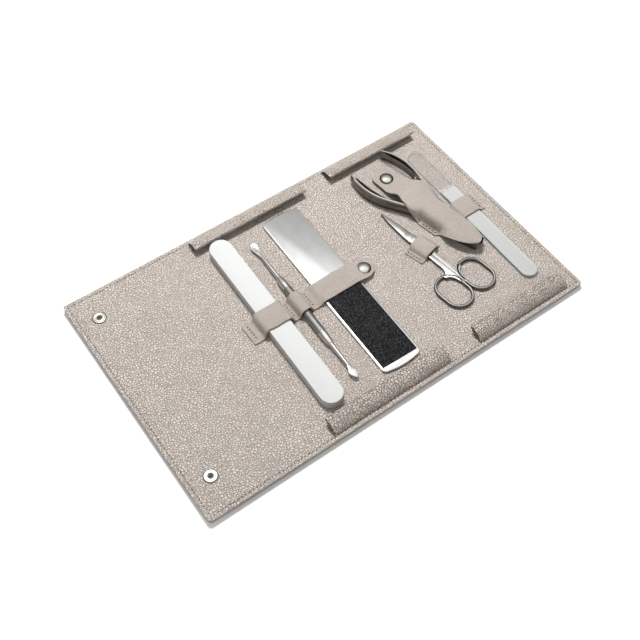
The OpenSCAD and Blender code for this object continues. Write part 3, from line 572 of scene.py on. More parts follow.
def grit_material(name, light, dark, grains, rough, depth, sparkle=None):
    """Small grains, some of which may catch the light."""
    material, add, shader, position = new_material(name)
    grit = add("TexVoronoi", {"Vector": position, "Scale": grains}, feature="F1").outputs
    tone = two_tone(add, grit["Distance"], light, dark, 0.1, 0.75)
    if sparkle:
        chance = add("TexWhiteNoise", {"Vector": grit["Position"]}, noise_dimensions="3D").outputs["Value"]
        bright = add("MapRange", {"Value": chance, "From Min": 0.72, "From Max": 1.0})
        tone = mixed(add, bright.outputs[0], tone, (*sparkle, 1))
    spread = add("TexNoise", {"Vector": position, "Scale": 90.0, "Detail": 3.0})
    gloss = add("MapRange", {"Value": spread.outputs["Fac"], "To Min": rough, "To Max": min(1.0, rough + 0.15)})
    bump = add("Bump", {"Strength": 0.6, "Distance": depth, "Height": grit["Distance"]})
    feed(shader, {"Base Color": tone, "Specular IOR Level": 0.15, "Roughness": gloss.outputs[0],
                  "Normal": bump.outputs[0]})
    return material


def glass_material():
    """Frosted glass: solid frost on the lower part, clearer and blotchy above the loop."""
    material, add, shader, position = new_material("frosted glass")
    along = add("SeparateXYZ", {0: position}).outputs["Y"]
    sway = add("TexNoise", {"Vector": position, "Scale": 420.0, "Detail": 3.0}).outputs["Fac"]
    edge = add("Math", {0: sway, 1: 0.006, 2: along}, operation="MULTIPLY_ADD")
    frosted = add("MapRange", {"Value": edge.outputs[0], "From Min": 0.0255, "From Max": 0.0300,
                               "To Min": 1.0, "To Max": 0.0}).outputs[0]
    frost = add("TexNoise", {"Vector": position, "Scale": 5200.0, "Detail": 2.0}).outputs["Fac"]
    tint = two_tone(add, frost, (0.600, 0.610, 0.602), (0.680, 0.690, 0.682), 0.35, 0.65)
    alpha = add("MapRange", {"Value": frosted, "To Min": 0.08, "To Max": 0.78})
    rough = add("MapRange", {"Value": frosted, "To Min": 0.25, "To Max": 0.5})
    bump = add("Bump", {"Strength": 0.3, "Distance": 0.00003, "Height": frost})
    feed(shader, {"Base Color": tint, "Alpha": alpha.outputs[0], "Roughness": rough.outputs[0],
                  "Normal": bump.outputs[0]})
    return material


# leathers: colours of the light and dark patches and of the creases' painted shade, pebbles per metre, bump depth in
# metres
TAUPE = (0.664, 0.596, 0.540), (0.620, 0.555, 0.501)
LEATHER = leather_material("taupe pebbled leather", *TAUPE, (0.33, 0.28, 0.24), 600.0, 0.0006,
                           strength=1.0, dome_sheen=0.10)
LEATHER_OUTER = leather_material("taupe outer leather", *TAUPE, (0.42, 0.37, 0.33), 600.0, 0.0006,
                                 strength=1.0, dome_sheen=0.10)
LEATHER_FLAP = leather_material("taupe flap leather", (0.650, 0.578, 0.519), (0.545, 0.480, 0.426),
                                (0.30, 0.25, 0.21), 560.0, 0.0010, strength=1.0, dome_sheen=0.12)
LEATHER_STRAP = leather_material("taupe strap leather", (0.545, 0.488, 0.442), (0.480, 0.427, 0.384),
                                 (0.34, 0.29, 0.25), 900.0, 0.0004, strength=0.8, dome_sheen=0.1)
# the side faces of the case's sheets, the straps and the holster: the leather darkened as their painted shade
LEATHER_SIDE_SHADE = leather_material("leather side in painted shade", (0.38, 0.335, 0.295), (0.28, 0.245, 0.215),
                              (0.14, 0.12, 0.105), 900.0, 0.00008, rough=0.5)
THREAD = leather_material("sewing thread", (0.52, 0.47, 0.42), (0.42, 0.37, 0.33), (0.24, 0.20, 0.17),
                          2600.0, 0.00012, rough=0.75)
# painted shade for the needle holes the thread goes down into
NEEDLE_HOLE_SHADE = leather_material("needle hole shade", (0.10, 0.085, 0.075), (0.06, 0.05, 0.045), (0.03, 0.025, 0.02),
                               2600.0, 0.00008, rough=0.9, dome_sheen=0.0)
CARD = leather_material("stiff board", (0.34, 0.27, 0.20), (0.28, 0.22, 0.16), (0.2, 0.15, 0.11),
                        1500.0, 0.00008, rough=0.85)
# metals: colours of the light and dark blotches, roughness
POLISHED = {"bump_mm": 0.002, "strength": 0.05}
STEEL = metal_material("polished steel", (0.72, 0.705, 0.685), (0.64, 0.625, 0.605), 0.10, **POLISHED)
# the polished steel darkened as painted shade, for the finger rings' tops
RING_STEEL_SHADED = metal_material("finger ring steel in painted shade", (0.40, 0.38, 0.355), (0.34, 0.325, 0.30), 0.10, **POLISHED)
# the same steel darkened, painted shade for the tools' sides
STEEL_SIDE_SHADE = metal_material("steel side in painted shade", (0.20, 0.185, 0.17), (0.13, 0.12, 0.11), 0.28)
# the blade's flat: a brushed finish, with its dull reflection painted in as a darker steel colour
BLADE_STEEL_DULLED = metal_material("matt blade steel with painted dull reflection", (0.46, 0.445, 0.42), (0.40, 0.385, 0.365), 0.12,
                            spread=0.03, direction=(0.1, 1, 1), bump_mm=0.002, strength=0.06)
SATIN = metal_material("satin plate steel", (0.80, 0.795, 0.785), (0.74, 0.735, 0.73), 0.08,
                       spread=0.03, direction=(1, 0.05, 1), bump_mm=0.002, strength=0.1)
KNURL = metal_material("knurled steel", (0.46, 0.45, 0.435), (0.34, 0.33, 0.32), 0.32)
NICKEL = metal_material("polished nickel", (0.66, 0.63, 0.58), (0.60, 0.57, 0.52), 0.09, **POLISHED)
# nickel darkened as painted shade, for the snaps' rims and hollows
NICKEL_PAINTED_SHADE = metal_material("nickel rim shade", (0.10, 0.092, 0.082), (0.06, 0.055, 0.05), 0.3)
# grains: two colours, grains per metre, roughness, bump depth in metres
WHITE_GRIT = grit_material("white abrasive paper", (0.69, 0.69, 0.68), (0.65, 0.65, 0.64), 3200.0, 0.8, 0.00003)
FOAM = grit_material("white foam core", (0.60, 0.605, 0.61), (0.52, 0.525, 0.53), 1800.0, 0.85, 0.0001)
BLACK_GRIT = grit_material("black abrasive sheet", (0.014, 0.014, 0.015), (0.005, 0.005, 0.006), 2200.0, 0.6,
                           0.0002, sparkle=(0.085, 0.085, 0.088))
GLASS = glass_material()
GLASS_EDGE = grit_material("ground glass edge", (0.80, 0.80, 0.79), (0.62, 0.62, 0.61), 2400.0, 0.35, 0.00004)
GLASS_EDGE.node_tree.nodes["Principled BSDF"].inputs["Alpha"].default_value = 0.45


# ---------- the case's leather ----------

CORNER = 3.0                            # how far in a corner's rounding starts
RIM = [0.0, 0.12, 0.35, 0.8, 1.6, 2.4, 3.0, 3.6, 4.5, 6.0]
# how far the face sinks at those rows: the rounded rim, then the seam's groove
RIM_DROP = {0.0: 0.5, 0.12: 0.24, 0.35: 0.08, 2.4: 0.1, 3.0: 0.3, 3.6: 0.14, 4.5: 0.03}
RIM_TURN_IN = 5.5                       # how far the lining's edge wraps down
FAR = 1e3
GRID_X, GRID_Y = 1.3, 3.0               # spacing of a sheet's points
# corners that stand a little off the table: place, height, reach
LIFTED_CORNERS = ((0, 0, 0.55, 50), (0, CASE_W, 0.5, 36), (CASE_L, CASE_W, 0.7, 30))


def lift(x, y):
    """How far the loose corners stand off the table."""
    rise = 0.0
    for cx, cy, height, reach in LIFTED_CORNERS:
        d = math.hypot(x - cx, y - cy)
        if d < reach:
            rise += height * (1 - d / reach) ** 2
    return rise


def edge_rows(length, start, end, step):
    """Rows across a sheet: close together at a finished edge, even in between."""
    low = RIM if start else [0.0]
    high = RIM if end else [0.0]
    a, b = low[-1], length - high[-1]
    count = max(1, int(round((b - a) / step)))
    middle = [a + (b - a) * i / count for i in range(count + 1)]
    return low[:-1] + middle + [length - h for h in reversed(high[:-1])]


def rounded_corner(a, b):
    """Carries a point near a square corner to the rounded one."""
    px, py = 1 - a / CORNER, 1 - b / CORNER
    return CORNER * (1 - px * math.sqrt(1 - py * py / 2)), CORNER * (1 - py * math.sqrt(1 - px * px / 2))


def cut_snap_seats(piece, x):
    """Cuts the round seats of the closing snaps' outside halves into the outer leather."""
    for y in CLOSING_SNAP_Y:
        begin()
        bpy.ops.mesh.primitive_cylinder_add(vertices=64, radius=SNAP_SEAT, depth=2.0, location=(x, y, 0.1))
        cutter = bpy.context.object
        modify(piece, "BOOLEAN", operation="DIFFERENCE", solver="EXACT", object=cutter)
        bpy.data.objects.remove(cutter)


def cover_sheet(name, x0, x1, low, high, rim_low, left_end, right_end, material):
    """One closed leather sheet of the case, from x0 to x1, its finished edges rounded and its seam pressed in."""
    xs = [x0 + d for d in edge_rows(x1 - x0, left_end, right_end, GRID_X)]
    ys = edge_rows(CASE_W, True, True, GRID_Y)
    m, n = len(xs) - 1, len(ys) - 1
    piece = bent_grid(name, m, n, lambda s, t: Vector((xs[int(round(s * m))], ys[int(round(t * n))], 0)))
    open_mesh(piece)
    bpy.ops.mesh.extrude_region_move(TRANSFORM_OT_translate={"value": (0, 0, 1)})
    close_mesh()
    for v in piece.data.vertices:
        x, y, up = v.co
        left = x - x0 if left_end else FAR
        right = x1 - x if right_end else FAR
        side, end = min(left, right), min(y, CASE_W - y)
        near = min(side, end)
        drop = 0.0
        for offset, depth in RIM_DROP.items():
            if abs(near - offset) < 0.01:
                drop = depth
        if side < CORNER and end < CORNER:
            a, b = rounded_corner(side, end)
            bottom = y < CASE_W - y
            x = x0 + a if left < right else x1 - a
            y = b if bottom else CASE_W - b
        if up > 0.5:
            z = high - drop
        else:
            z = rim_low if near < RIM_TURN_IN else low
        v.co = (x, y, z + lift(x, y))
    dress(piece, material, LEATHER_SIDE_SHADE)
    # faces that look sideways get the leather side in painted shade
    for face in piece.data.polygons:
        if abs(face.normal.z) < 0.7:
            face.material_index = 1
    return smooth(piece, 50)


COVERS = (
    # name, x0, x1, finished left, finished right, bodies, fold line, lining nodes, outer nodes
    ("left_cover", 0.0, 79.3, True, False, ("left_panel", "left_spine"), LEFT_FOLD[0],
     ("left_panel_lining",), ("left_panel_outer_leather",)),
    ("middle_cover_left", 79.3, 145.0, False, False, ("left_spine", "middle"), LEFT_FOLD[1],
     ("left_spine_lining", "middle_panel_lining"), ("left_spine_outer_leather", "middle_panel_outer_leather")),
    ("middle_cover_right", 145.0, 207.75, False, False, ("middle", "right_spine"), RIGHT_FOLD[0],
     ("right_spine_lining",), ("right_spine_outer_leather",)),
    ("right_cover", 207.75, CASE_L, False, True, ("right_spine", "right_panel"), RIGHT_FOLD[1],
     ("right_panel_lining",), ("right_panel_outer_leather",)),
)


# ---------- sewing ----------

STITCH_PITCH = 2.8
STITCH_SINK = 0.1
STRAP_SEWING = {"pitch": 2.7, "length": 1.5, "thick": 0.6, "turn": 20}
SEAM_DEPTH = 0.27                       # how far the case's seam lies below the lining's face


def one_stitch(length, thick):
    """A short length of thread, and a dark oval of painted shade for the hole it goes down into."""
    parts = []
    for size, x, z, material in (((length, thick, thick * 0.8), 0.0, 0.0, THREAD),
                                 ((1.25, thick * 2.0, 0.3), length * 0.66, -thick * 0.22, NEEDLE_HOLE_SHADE)):
        begin()
        bpy.ops.mesh.primitive_uv_sphere_add(segments=8, ring_count=5, radius=0.5)
        part = bpy.context.object
        part.data.transform(shifted(x, 0, z) @ Matrix.Diagonal((*size, 1)))
        parts.append(dress(part, material))
    return join("stitch", parts)


def sew(name, line, pitch=STITCH_PITCH, length=1.7, thick=0.55, turn=0.0):
    """Stitches of one model, each a copy laid along a line and sunk a little."""
    line = even(line, pitch)
    stitch = one_stitch(length, thick)
    copies = []
    for a, b in zip(line, line[1:]):
        ahead = (b - a).normalized()
        copy = stitch.copy()
        copy.data = stitch.data.copy()
        bpy.context.scene.collection.objects.link(copy)
        side = Vector((0, 0, 1)).cross(ahead).normalized()
        up = ahead.cross(side)
        basis = Matrix((ahead, side, up)).transposed().to_4x4()
        copy.data.transform(Matrix.Translation((a + b) / 2 + up * (thick * 0.4 - STITCH_SINK))
                            @ basis @ Matrix.Rotation(math.radians(turn), 4, "Z"))
        copies.append(copy)
    bpy.data.objects.remove(stitch)
    return smooth(join(name, copies), 60)


def foot_rows(name, feet, y0, y1, body, place=None):
    """The rows of stitches across a strap's sewn-down feet, each at its x and z."""
    seams = join(name, [sew("row", [Vector((x, y0, z)), Vector((x, y1, z))], **STRAP_SEWING) for x, z in feet])
    set_down(seams, place)
    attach(seams, body)


def edge_seam(x0, x1, left_end, right_end):
    """The seam lines of one cover: along both long edges, and round an end."""
    x_low, x_high = x0 + (SEAM_IN if left_end else 0), x1 - (SEAM_IN if right_end else 0)
    low, high = ([Vector((x, y, 0)) for x in (x_low, x_high)] for y in (SEAM_IN, CASE_W - SEAM_IN))
    lines = [low, high]
    if left_end:
        lines.append([low[0], high[0]])
    if right_end:
        lines.append([low[1], high[1]])
    return [[Vector((p.x, p.y, TOP - SEAM_DEPTH + lift(p.x, p.y))) for p in even(line, 2.0)] for line in lines]


for name, x0, x1, left_end, right_end, bodies, fold, linings, outers in COVERS:
    lining = set_down(cover_sheet(name + "_lining", x0, x1, 2.0, TOP, 1.14, left_end, right_end, LEATHER))
    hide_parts(*linings)
    outer = cover_sheet(name + "_outer_leather", x0, x1, 0.0, 1.1, 0.0, left_end, right_end, LEATHER_OUTER)
    for snap_x in (CLOSING_CAP_X, CLOSING_STUD_X):
        if x0 < snap_x < x1:
            cut_snap_seats(outer, snap_x)
    set_down(outer)
    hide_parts(*outers)
    seam = set_down(join(name + "_seam", [sew("seam", line) for line in edge_seam(x0, x1, left_end, right_end)]))
    for piece in (lining, outer, seam):
        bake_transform(piece)


# ---------- side flaps ----------

FLAP_SEAM = (4.1, 3.2)                  # y and z where the strip leaves its seam
FLAP_EDGE = (14.7, 9.3)                 # and of its free edge
FLAP_BULGE = 2.8
FLAP_WALL = 1.0
FLAP_STEP = 0.8


def flap_section():
    """The folded strip's outline, seam to free edge and back, then the inside of it."""
    a, b = Vector(FLAP_SEAM), Vector(FLAP_EDGE)
    chord = b - a
    n = Vector((-chord.y, chord.x)).normalized()

    def arc(sign, inset, count, u0, u1):
        line = []
        for i in range(count + 1):
            u = u0 + (u1 - u0) * i / count
            bulge = math.sin(math.pi * (0.06 + 0.9 * u)) ** 0.8 * FLAP_BULGE
            line.append(a + chord * u + n * sign * max(bulge - inset, 0.12))
        return line
    outer = arc(1, 0, 20, 0.0, 0.98)
    tip = [b + chord.normalized() * (0.55 * math.cos(t)) + n * (0.95 * math.sin(t)) for t in (1.1, 0.4, -0.4, -1.1)]
    under = arc(-1, 0, 16, 0.98, 0.0)
    inner = arc(-1, FLAP_WALL, 14, 0.07, 0.93) + arc(1, FLAP_WALL, 14, 0.93, 0.07)
    return outer + tip + under, inner


def flap(node, x0, length, top, seed):
    """A side flap: a leather strip folded on itself, creased towards its seam."""
    rows = int(length / FLAP_STEP)

    def skin(ring):
        m = len(ring)

        def shape(s, t):
            y, z = ring[int(round(s * m)) % m]
            x = x0 + t * length
            up = min(1.0, max(0.0, (y - FLAP_SEAM[0]) / (FLAP_EDGE[0] - FLAP_SEAM[0])))
            seamward = max(0.0, 1 - up * 1.5)
            pull = noise.noise(Vector((x * 0.30 + seed, y * 0.10, seed))) * 0.55 * seamward
            pull += noise.noise(Vector((x * 0.75 + y * 0.25, y * 0.4, seed + 5))) * 0.28 * (1 - up)
            wave = noise.noise(Vector((x * 0.045, seed, 1.0))) * 0.55 * up
            end = min(x - x0, x0 + length - x)
            slump = -0.35 * max(0.0, 1 - end / 5.0) * up
            out = Vector((x, y - 0.25 * wave, z + pull * 0.8 + wave + slump))
            out.z = max(out.z, TOP + 0.06)
            if top:
                out.y = CASE_W - out.y
            return out
        return bent_grid(node + "_leather", m, rows, shape, closed=True)
    piece = join(node + "_leather", [skin(ring) for ring in flap_section()])
    open_mesh(piece)
    pick_border()
    bpy.ops.mesh.bridge_edge_loops(type="PAIRS")
    close_mesh()
    smooth(dress(piece, LEATHER_FLAP), 60)
    hand_in(piece, [node], "lining_leather", node)


flap("middle_top_flap", 100.0, 96.0, True, 3.1)
flap("middle_bottom_flap", 97.0, 96.0, False, 8.7)
flap("right_top_flap", 218.5, 79.5, True, 12.9)
flap("right_bottom_flap", 218.5, 79.5, False, 21.3)


# ---------- leather bands: straps and loops ----------

BAND_THICK, BAND_RIM = 1.2, 0.3


def band(name, path, half_width, y_centre=0.0, wave=0.12, seed=0.0, edge_wave=0.0):
    """A strap lying along a path in X and Z, its width along Y; half_width(x) may change along it."""
    line = [Vector((p.x, y_centre, p.y)) for p in path]

    def section(i, f):
        x = line[i].x
        w = half_width(x)
        ring = []
        for a, b in round_section(w, BAND_THICK / 2, BAND_RIM):
            side = 1 if a > 0 else -1
            ripple = edge_wave * noise.noise(Vector((x * 0.11, side * 3.0, seed))) * (abs(a) / w) if w > 0.5 else 0
            ring.append((a + ripple * side, b + wave * noise.noise(Vector((x * 0.16, a * 0.16, seed + 2)))))
        return ring
    piece = swept(name, line, section, side=Vector((0, 1, 0)))
    dress(piece, LEATHER_STRAP, LEATHER_SIDE_SHADE)
    # the strap's sides get the leather side in painted shade
    for face in piece.data.polygons:
        if abs(face.normal.y) > 0.75 and len(face.vertices) == 4:
            face.material_index = 1
    return smooth(piece, 50)


# ---------- the middle strap, over the file block and the pusher, and its tongue over the foot file ----------

STRAP_Y, STRAP_W = 90.0, 17.5
STRAP_START, STRAP_FULL = 92.4, 93.0    # its cut end, and where it has its full width
TONGUE_END, TONGUE_ROUND = 197.2, 8.6
BLOCK_X, PUSHER_X, FOOT_X = 113.0, 135.0, 166.7


def strap_half_width(x):
    """Half the strap's width: full, except at its cut start and its rounded tongue."""
    w = STRAP_W / 2
    if x > TONGUE_END - TONGUE_ROUND:
        k = min(1.0, (x - (TONGUE_END - TONGUE_ROUND)) / TONGUE_ROUND)
        w = 1.0 + (w - 1.0) * math.sqrt(max(0.0, 1 - k ** 2.4))
    if x < STRAP_FULL:
        w -= 0.3 * (STRAP_FULL - x) / 0.6
    return w


def middle_strap():
    """Down to the lining between the tools, up over each of them, and off to the side as a tongue."""
    path = eased([
        (STRAP_START, 3.62, 0), (100.9, 3.62, 2.2), (103.3, 11.0, 2.6), (122.7, 11.0, 2.6), (125.2, 3.62, 2.2),
        (129.4, 3.62, 1.8), (131.0, 8.6, 2.2), (132.6, 10.3, 1.6), (137.4, 10.3, 1.6), (139.1, 8.4, 2.2),
        (140.9, 3.64, 2.0), (146.5, 3.7, 2.5), (150.6, 6.75, 3.0), (183.2, 6.9, 4.5), (186.4, 6.0, 3.5),
        (TONGUE_END, 5.75, 0)], step=0.55)
    piece = band("middle_strap_leather", path, strap_half_width, y_centre=STRAP_Y + STRAP_W / 2, seed=4.0,
                 edge_wave=0.7)
    set_down(piece)
    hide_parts("file_strap", "file_strap_tongue")
    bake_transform(piece)
    foot_rows("middle_strap_stitches", ((96.3, FOOT_TOP), (127.4, FOOT_TOP), (143.4, 4.26)),
              STRAP_Y + 2.2, STRAP_Y + STRAP_W - 2.2, "middle")


middle_strap()


# ---------- snaps ----------

def snap_cap(node, x, y, z, body):
    """A domed, polished cap on a rim ring in painted shade."""
    dome = lathe([(0.0, 1.55), (1.2, 1.52), (2.5, 1.38), (3.6, 1.06), (4.2, 0.66), (4.4, 0.32), (4.38, 0.12)],
                 NICKEL)
    rim = lathe([(4.35, 0.14), (4.62, 0.16), (4.95, 0.42), (5.2, 0.34), (5.3, 0.12), (5.22, 0.0), (4.2, 0.0)],
                NICKEL_PAINTED_SHADE)
    hand_in(join(node + "_polished", [dome, rim]), [node], "nickel", body, shifted(x, y, z))


def closing_snap_parts(name, node, x, inside, bright, dark, body):
    """One half of both closing snaps, a bright turned part with one in painted shade, inside on the lining or
    outside.
    """
    parts = []
    for y in CLOSING_SNAP_Y:
        place = shifted(x, y, TOP + lift(x, y) if inside else 0.0)
        parts += [lathe(bright, NICKEL, place=place), lathe(dark, NICKEL_PAINTED_SHADE, place=place)]
    hand_in(join(name, parts), [node], "nickel", body)


snap_cap("strap_snap_cap", 189.8, 97.85, 6.36, "strap_tongue")
closing_snap_parts(
    "closing_snap_rings", "closing_snap_sockets", CLOSING_CAP_X, True,
    [(2.05, 0.1), (2.1, 0.6), (2.35, 0.66), (2.6, 0.6), (2.75, 0.36), (3.1, 0.33), (3.5, 0.38), (3.7, 0.62),
     (4.0, 0.7), (4.35, 0.6), (4.5, 0.3), (4.5, 0.1), (2.05, 0.1)],
    [(0.0, 0.6), (0.45, 0.56), (0.7, 0.4), (0.75, 0.26), (2.1, 0.26), (2.1, 0.12), (4.45, 0.12), (4.5, 0.34),
     (4.8, 0.3), (5.0, 0.1), (4.95, 0.0), (0.0, 0.0)], "left_panel")
# the outside halves are sunk flush into the leather, and seen when the case is shut
closing_snap_parts(
    "closing_snap_outer_caps", "closing_snap_caps", CLOSING_CAP_X, False,
    [(0.0, 0.0), (1.6, 0.03), (2.9, 0.13), (3.6, 0.32), (3.9, 0.5), (3.9, 0.9), (0.0, 0.9)],
    [(3.85, 0.55), (4.05, 0.22), (4.3, 0.05), (4.6, 0.08), (4.8, 0.3), (4.8, 1.08), (0.0, 1.08), (0.0, 0.95),
     (3.85, 0.95)], "left_panel")
closing_snap_parts(
    "closing_snap_stud_faces", "closing_snap_studs", CLOSING_STUD_X, False,
    [(0.0, 0.08), (1.3, 0.1), (1.75, 0.24), (1.85, 0.5), (2.5, 0.56), (3.6, 0.5), (4.2, 0.24), (4.6, 0.12),
     (4.78, 0.3), (4.78, 1.0), (0.0, 1.0)],
    [(1.9, 0.52), (2.2, 0.47), (2.5, 0.52), (2.5, 0.9), (1.9, 0.9), (1.9, 0.52)], "right_panel")


# ---------- white file block ----------

def file_block():
    """A foam core between two abrasive faces."""
    outline = bar_outline(157.0, 16.6, 14)
    for node, z0, z1, rim, material, slot in (
            ("nail_file_bottom_abrasive", 0.0, 0.7, 0.15, WHITE_GRIT, "white_abrasive"),
            ("nail_file_core", 0.7, 6.3, 0.0, FOAM, "file_core"),
            ("nail_file_top_abrasive", 6.3, 7.0, 0.22, WHITE_GRIT, "white_abrasive")):
        piece = dress(cut_plate(node + "_piece", outline, z0, z1, rim), material)
        hand_in(piece, [node], slot, "nail_file", leaning(BLOCK_X, 98.5, TOP, -1.6))


file_block()


# ---------- pusher ----------

PUSHER_PLACE = leaning(PUSHER_X, 95.8, TOP + 3.1, -1.65)
UPWARDS = Matrix.Rotation(math.radians(-90), 4, "X")     # turns a lathe's axis along the tool
DOWNWARDS = Matrix.Rotation(math.radians(90), 4, "X")
GRIP_R, GRIP_Y0, GRIP_Y1 = 3.0, -25.5, 19.5
# the spoon's end: place along the tool, half width, depth of the dish
SPOON = ((52.5, 1.05, 0.0), (54.5, 1.25, 0.05), (57.0, 1.85, 0.2), (60.0, 2.55, 0.35), (62.5, 2.85, 0.38),
         (64.8, 2.5, 0.3), (66.2, 1.6, 0.2), (66.95, 0.35, 0.1))


def knurl_shape(s, t):
    """The grip's surface, cut by two crossing sets of grooves."""
    a = 2 * math.pi * s
    y = GRIP_Y0 + (GRIP_Y1 - GRIP_Y0) * t
    d = abs(math.sin(9 * a + y * 3.1)) * abs(math.sin(9 * a - y * 3.1))
    r = GRIP_R - 0.20 + 0.26 * d ** 0.6
    return Vector((r * math.sin(a), y, r * math.cos(a)))


def spoon_shape(s, t):
    """The spoon end's surface: a rounded bar that widens into a dished oval."""
    k = t * (len(SPOON) - 1)
    i = min(int(k), len(SPOON) - 2)
    u = k - i
    u = u * u * (3 - 2 * u)
    y, w, dish = (SPOON[i][n] + (SPOON[i + 1][n] - SPOON[i][n]) * u for n in range(3))
    a = 2 * math.pi * s
    x = w * math.cos(a)
    thick = min(w, 0.9 if y > 54 else 1.05)
    z = thick * math.sin(a) * (1.0 if math.sin(a) < 0 else 0.45)
    if math.sin(a) > 0:
        z -= dish * 2.6 * max(0.0, 1 - (x / w) ** 2) * 0.55
    return Vector((x, y, z - 0.05))


def pusher():
    """A knurled grip between two collars, with a spoon at one end and a blade at the other."""
    grip = dress(bent_grid("knurl", 72, 150, knurl_shape, closed=True), KNURL)
    smooth(grip, 60)
    profile = [(2.85, 0.0), (3.05, 0.25), (3.05, 0.9), (2.75, 1.15), (2.75, 1.6), (3.0, 1.85), (3.0, 3.4),
               (2.85, 5.6), (2.45, 9.2), (2.2, 10.6), (1.62, 10.9)]
    collars = [lathe(profile, STEEL, place=shifted(0, y) @ turn) for y, turn in ((19.0, UPWARDS), (-25.0, DOWNWARDS))]
    hand_in(join("pusher_knurled_grip", [grip] + collars), ["pusher_grip"], "knurled_steel", "pusher", PUSHER_PLACE)

    shaft = lathe([(1.6, 0.0), (1.55, 0.8), (1.45, 8.0), (1.25, 18.0), (1.05, 23.2)],
                  place=shifted(0, 29.6) @ UPWARDS)
    spoon = smooth(bent_grid("spoon", 24, 56, spoon_shape, closed=True, caps=True), 60)
    spoon_end = dress(join("pusher_spoon", [shaft, spoon]), STEEL)
    hand_in(spoon_end, ["pusher_spoon_end"], "tool_steel", "pusher", PUSHER_PLACE)

    shaft = lathe([(1.6, 0.0), (1.55, 0.8), (1.4, 9.0), (1.15, 17.0), (1.05, 20.5)],
                  place=shifted(0, -35.6) @ DOWNWARDS)
    outline = curve_through([(-1.0, -55.0), (-1.5, -57.6), (-2.9, -60.6), (-2.6, -63.4), (-0.9, -66.2), (0.0, -66.95),
                             (0.9, -66.2), (2.6, -63.4), (2.9, -60.6), (1.5, -57.6), (1.0, -55.0)])
    blade_end = dress(join("pusher_blade", [shaft, cut_plate("blade", outline, -0.6, 0.6, 0.3)]), STEEL)
    hand_in(blade_end, ["pusher_blade_end"], "tool_steel", "pusher", PUSHER_PLACE)


pusher()


# ---------- foot file ----------

def foot_file():
    """A thin steel plate with bowed ends, and the black pad on its lower half."""
    place = leaning(FOOT_X, 97.0, TOP, -1.1)
    half_w, half_l, end_r, r = 15.5, 77.5, 60.0, 4.0
    cx, cy = half_w - r, half_l - r - (half_w * half_w) / (2 * end_r) * 0.62
    quarter = []
    for i in range(9):
        a = math.radians(90 * i / 8)
        quarter.append((cx + r * math.cos(a), cy + r * math.sin(a)))
    for i in range(1, 8):
        x = (half_w - r) * (1 - i / 8)
        quarter.append((x, half_l - x * x / (2 * end_r) * 1.15))
    top = quarter + [(-x, y) for x, y in reversed(quarter)]
    outline = top + [(-x, -y) for x, y in top]
    plate = dress(cut_plate("foot_file_steel_plate", outline, 0.0, 2.2, 0.35, 3), SATIN)
    hand_in(plate, ["foot_file_plate"], "satin_steel", "foot_file", place)
    w, y0, y1 = 14.0, -72.5, 10.5
    pad = dress(cut_plate("foot_file_black_pad", [(-w, y0), (w, y0), (w, y1), (-w, y1)], 2.2, 3.0, 0.12), BLACK_GRIT)
    hand_in(pad, ["foot_file_abrasive_pad"], "black_abrasive", "foot_file", place)


foot_file()


# ---------- cross bands over the scissors and the glass file ----------

def loop_band(name, node, path, width, place, seed, feet):
    """A leather loop sewn down at its sides, with the seams of its feet."""
    piece = band(name, eased(path, step=0.5), lambda x: width / 2, seed=seed, wave=0.2, edge_wave=0.25)
    hand_in(piece, [node], "lining_leather", "right_panel", place)
    foot_rows(name + "_stitches", [(x, FOOT_TOP) for x in feet], -width / 2 + 1.4, width / 2 - 1.4,
              "right_panel", place)


SCISSORS = (234.8, 97.9)
SCISSORS_PLACE = leaning(*SCISSORS, 0, 7.5)
GLASS_FILE_X = 285.7
loop_band("scissors_loop_leather", "scissors_loop",
          [(-11.7, 3.62, 0), (-7.4, 3.66, 1.4), (-6.2, 6.7, 1.6), (-4.0, 7.8, 2.0), (4.2, 7.8, 2.0), (6.2, 6.6, 1.6),
           (7.5, 3.66, 1.4), (9.8, 3.62, 0)],
          15.5, SCISSORS_PLACE @ leaning(0.5, -9.5, 0, 7.5), 11.0, (-9.6, 8.4))
loop_band("glass_file_loop_leather", "glass_file_loop",
          [(-9.3, 3.62, 0), (-8.6, 3.66, 0.8), (-7.6, 5.6, 1.0), (-6.3, 6.56, 1.4), (6.4, 6.5, 1.6), (7.8, 5.0, 1.2),
           (8.7, 3.66, 1.0), (11.9, 3.62, 0)],
          16.5, shifted(GLASS_FILE_X, 100.25), 15.0, (-8.9, 10.3))


# ---------- scissors ----------

EYE_X, EYE_Y, EYE_R, EYE_STRETCH, EYE_Z = 11.3, -50.7, 10.15, 4.0, 4.65
EYE_SECTION = [(0.55, 1.35), (-0.55, 1.35), (-0.95, 1.0), (-1.05, 0.2), (-1.0, -1.0), (-0.6, -1.35), (0.6, -1.35),
               (1.0, -1.0), (1.05, 0.2), (0.95, 1.0)]
BLADE_SIDE = [(0.1, -10), (3.8, -10), (4.0, -4), (3.5, 0.5), (2.7, 5), (2.4, 11.7), (1.6, 23.5), (0.15, 33.3),
              (-0.15, 33.3), (-1.9, 24.1), (-3.1, 13.4), (-3.6, 6.4), (-3.8, 0.5), (-1.6, -4)]
SHANK_SIDE = [(0.1, -4), (4.0, -4), (3.55, -9), (3.4, -14), (3.4, -30), (3.6, -33), (4.3, -35), (5.9, -36.6),
              (8.6, -37.2), (8.0, -39.4), (5.6, -40.6), (3.9, -42.6), (2.9, -45), (2.4, -48), (0.1, -51.5)]
SHOULDER_SIDE = [(0.1, -8), (3.6, -8), (3.7, -3), (2.6, 4.4), (-0.6, 8.6), (-3.2, 6.2), (-3.4, 0.5), (-1.5, -3.6)]


def paint_shaded_sides(piece, top, side, limit=0.72):
    """Faces that look up keep the top material; the sides get a darker steel as painted shade."""
    dress(piece, top, side)
    for face in piece.data.polygons:
        face.material_index = 0 if face.normal.z > limit else 1
    return piece


def mirrored(line, s):
    """An outline for the side s, 1 or -1, of a pair, still running the same way round."""
    return [(s * x, y) for x, y in (line if s > 0 else reversed(line))]


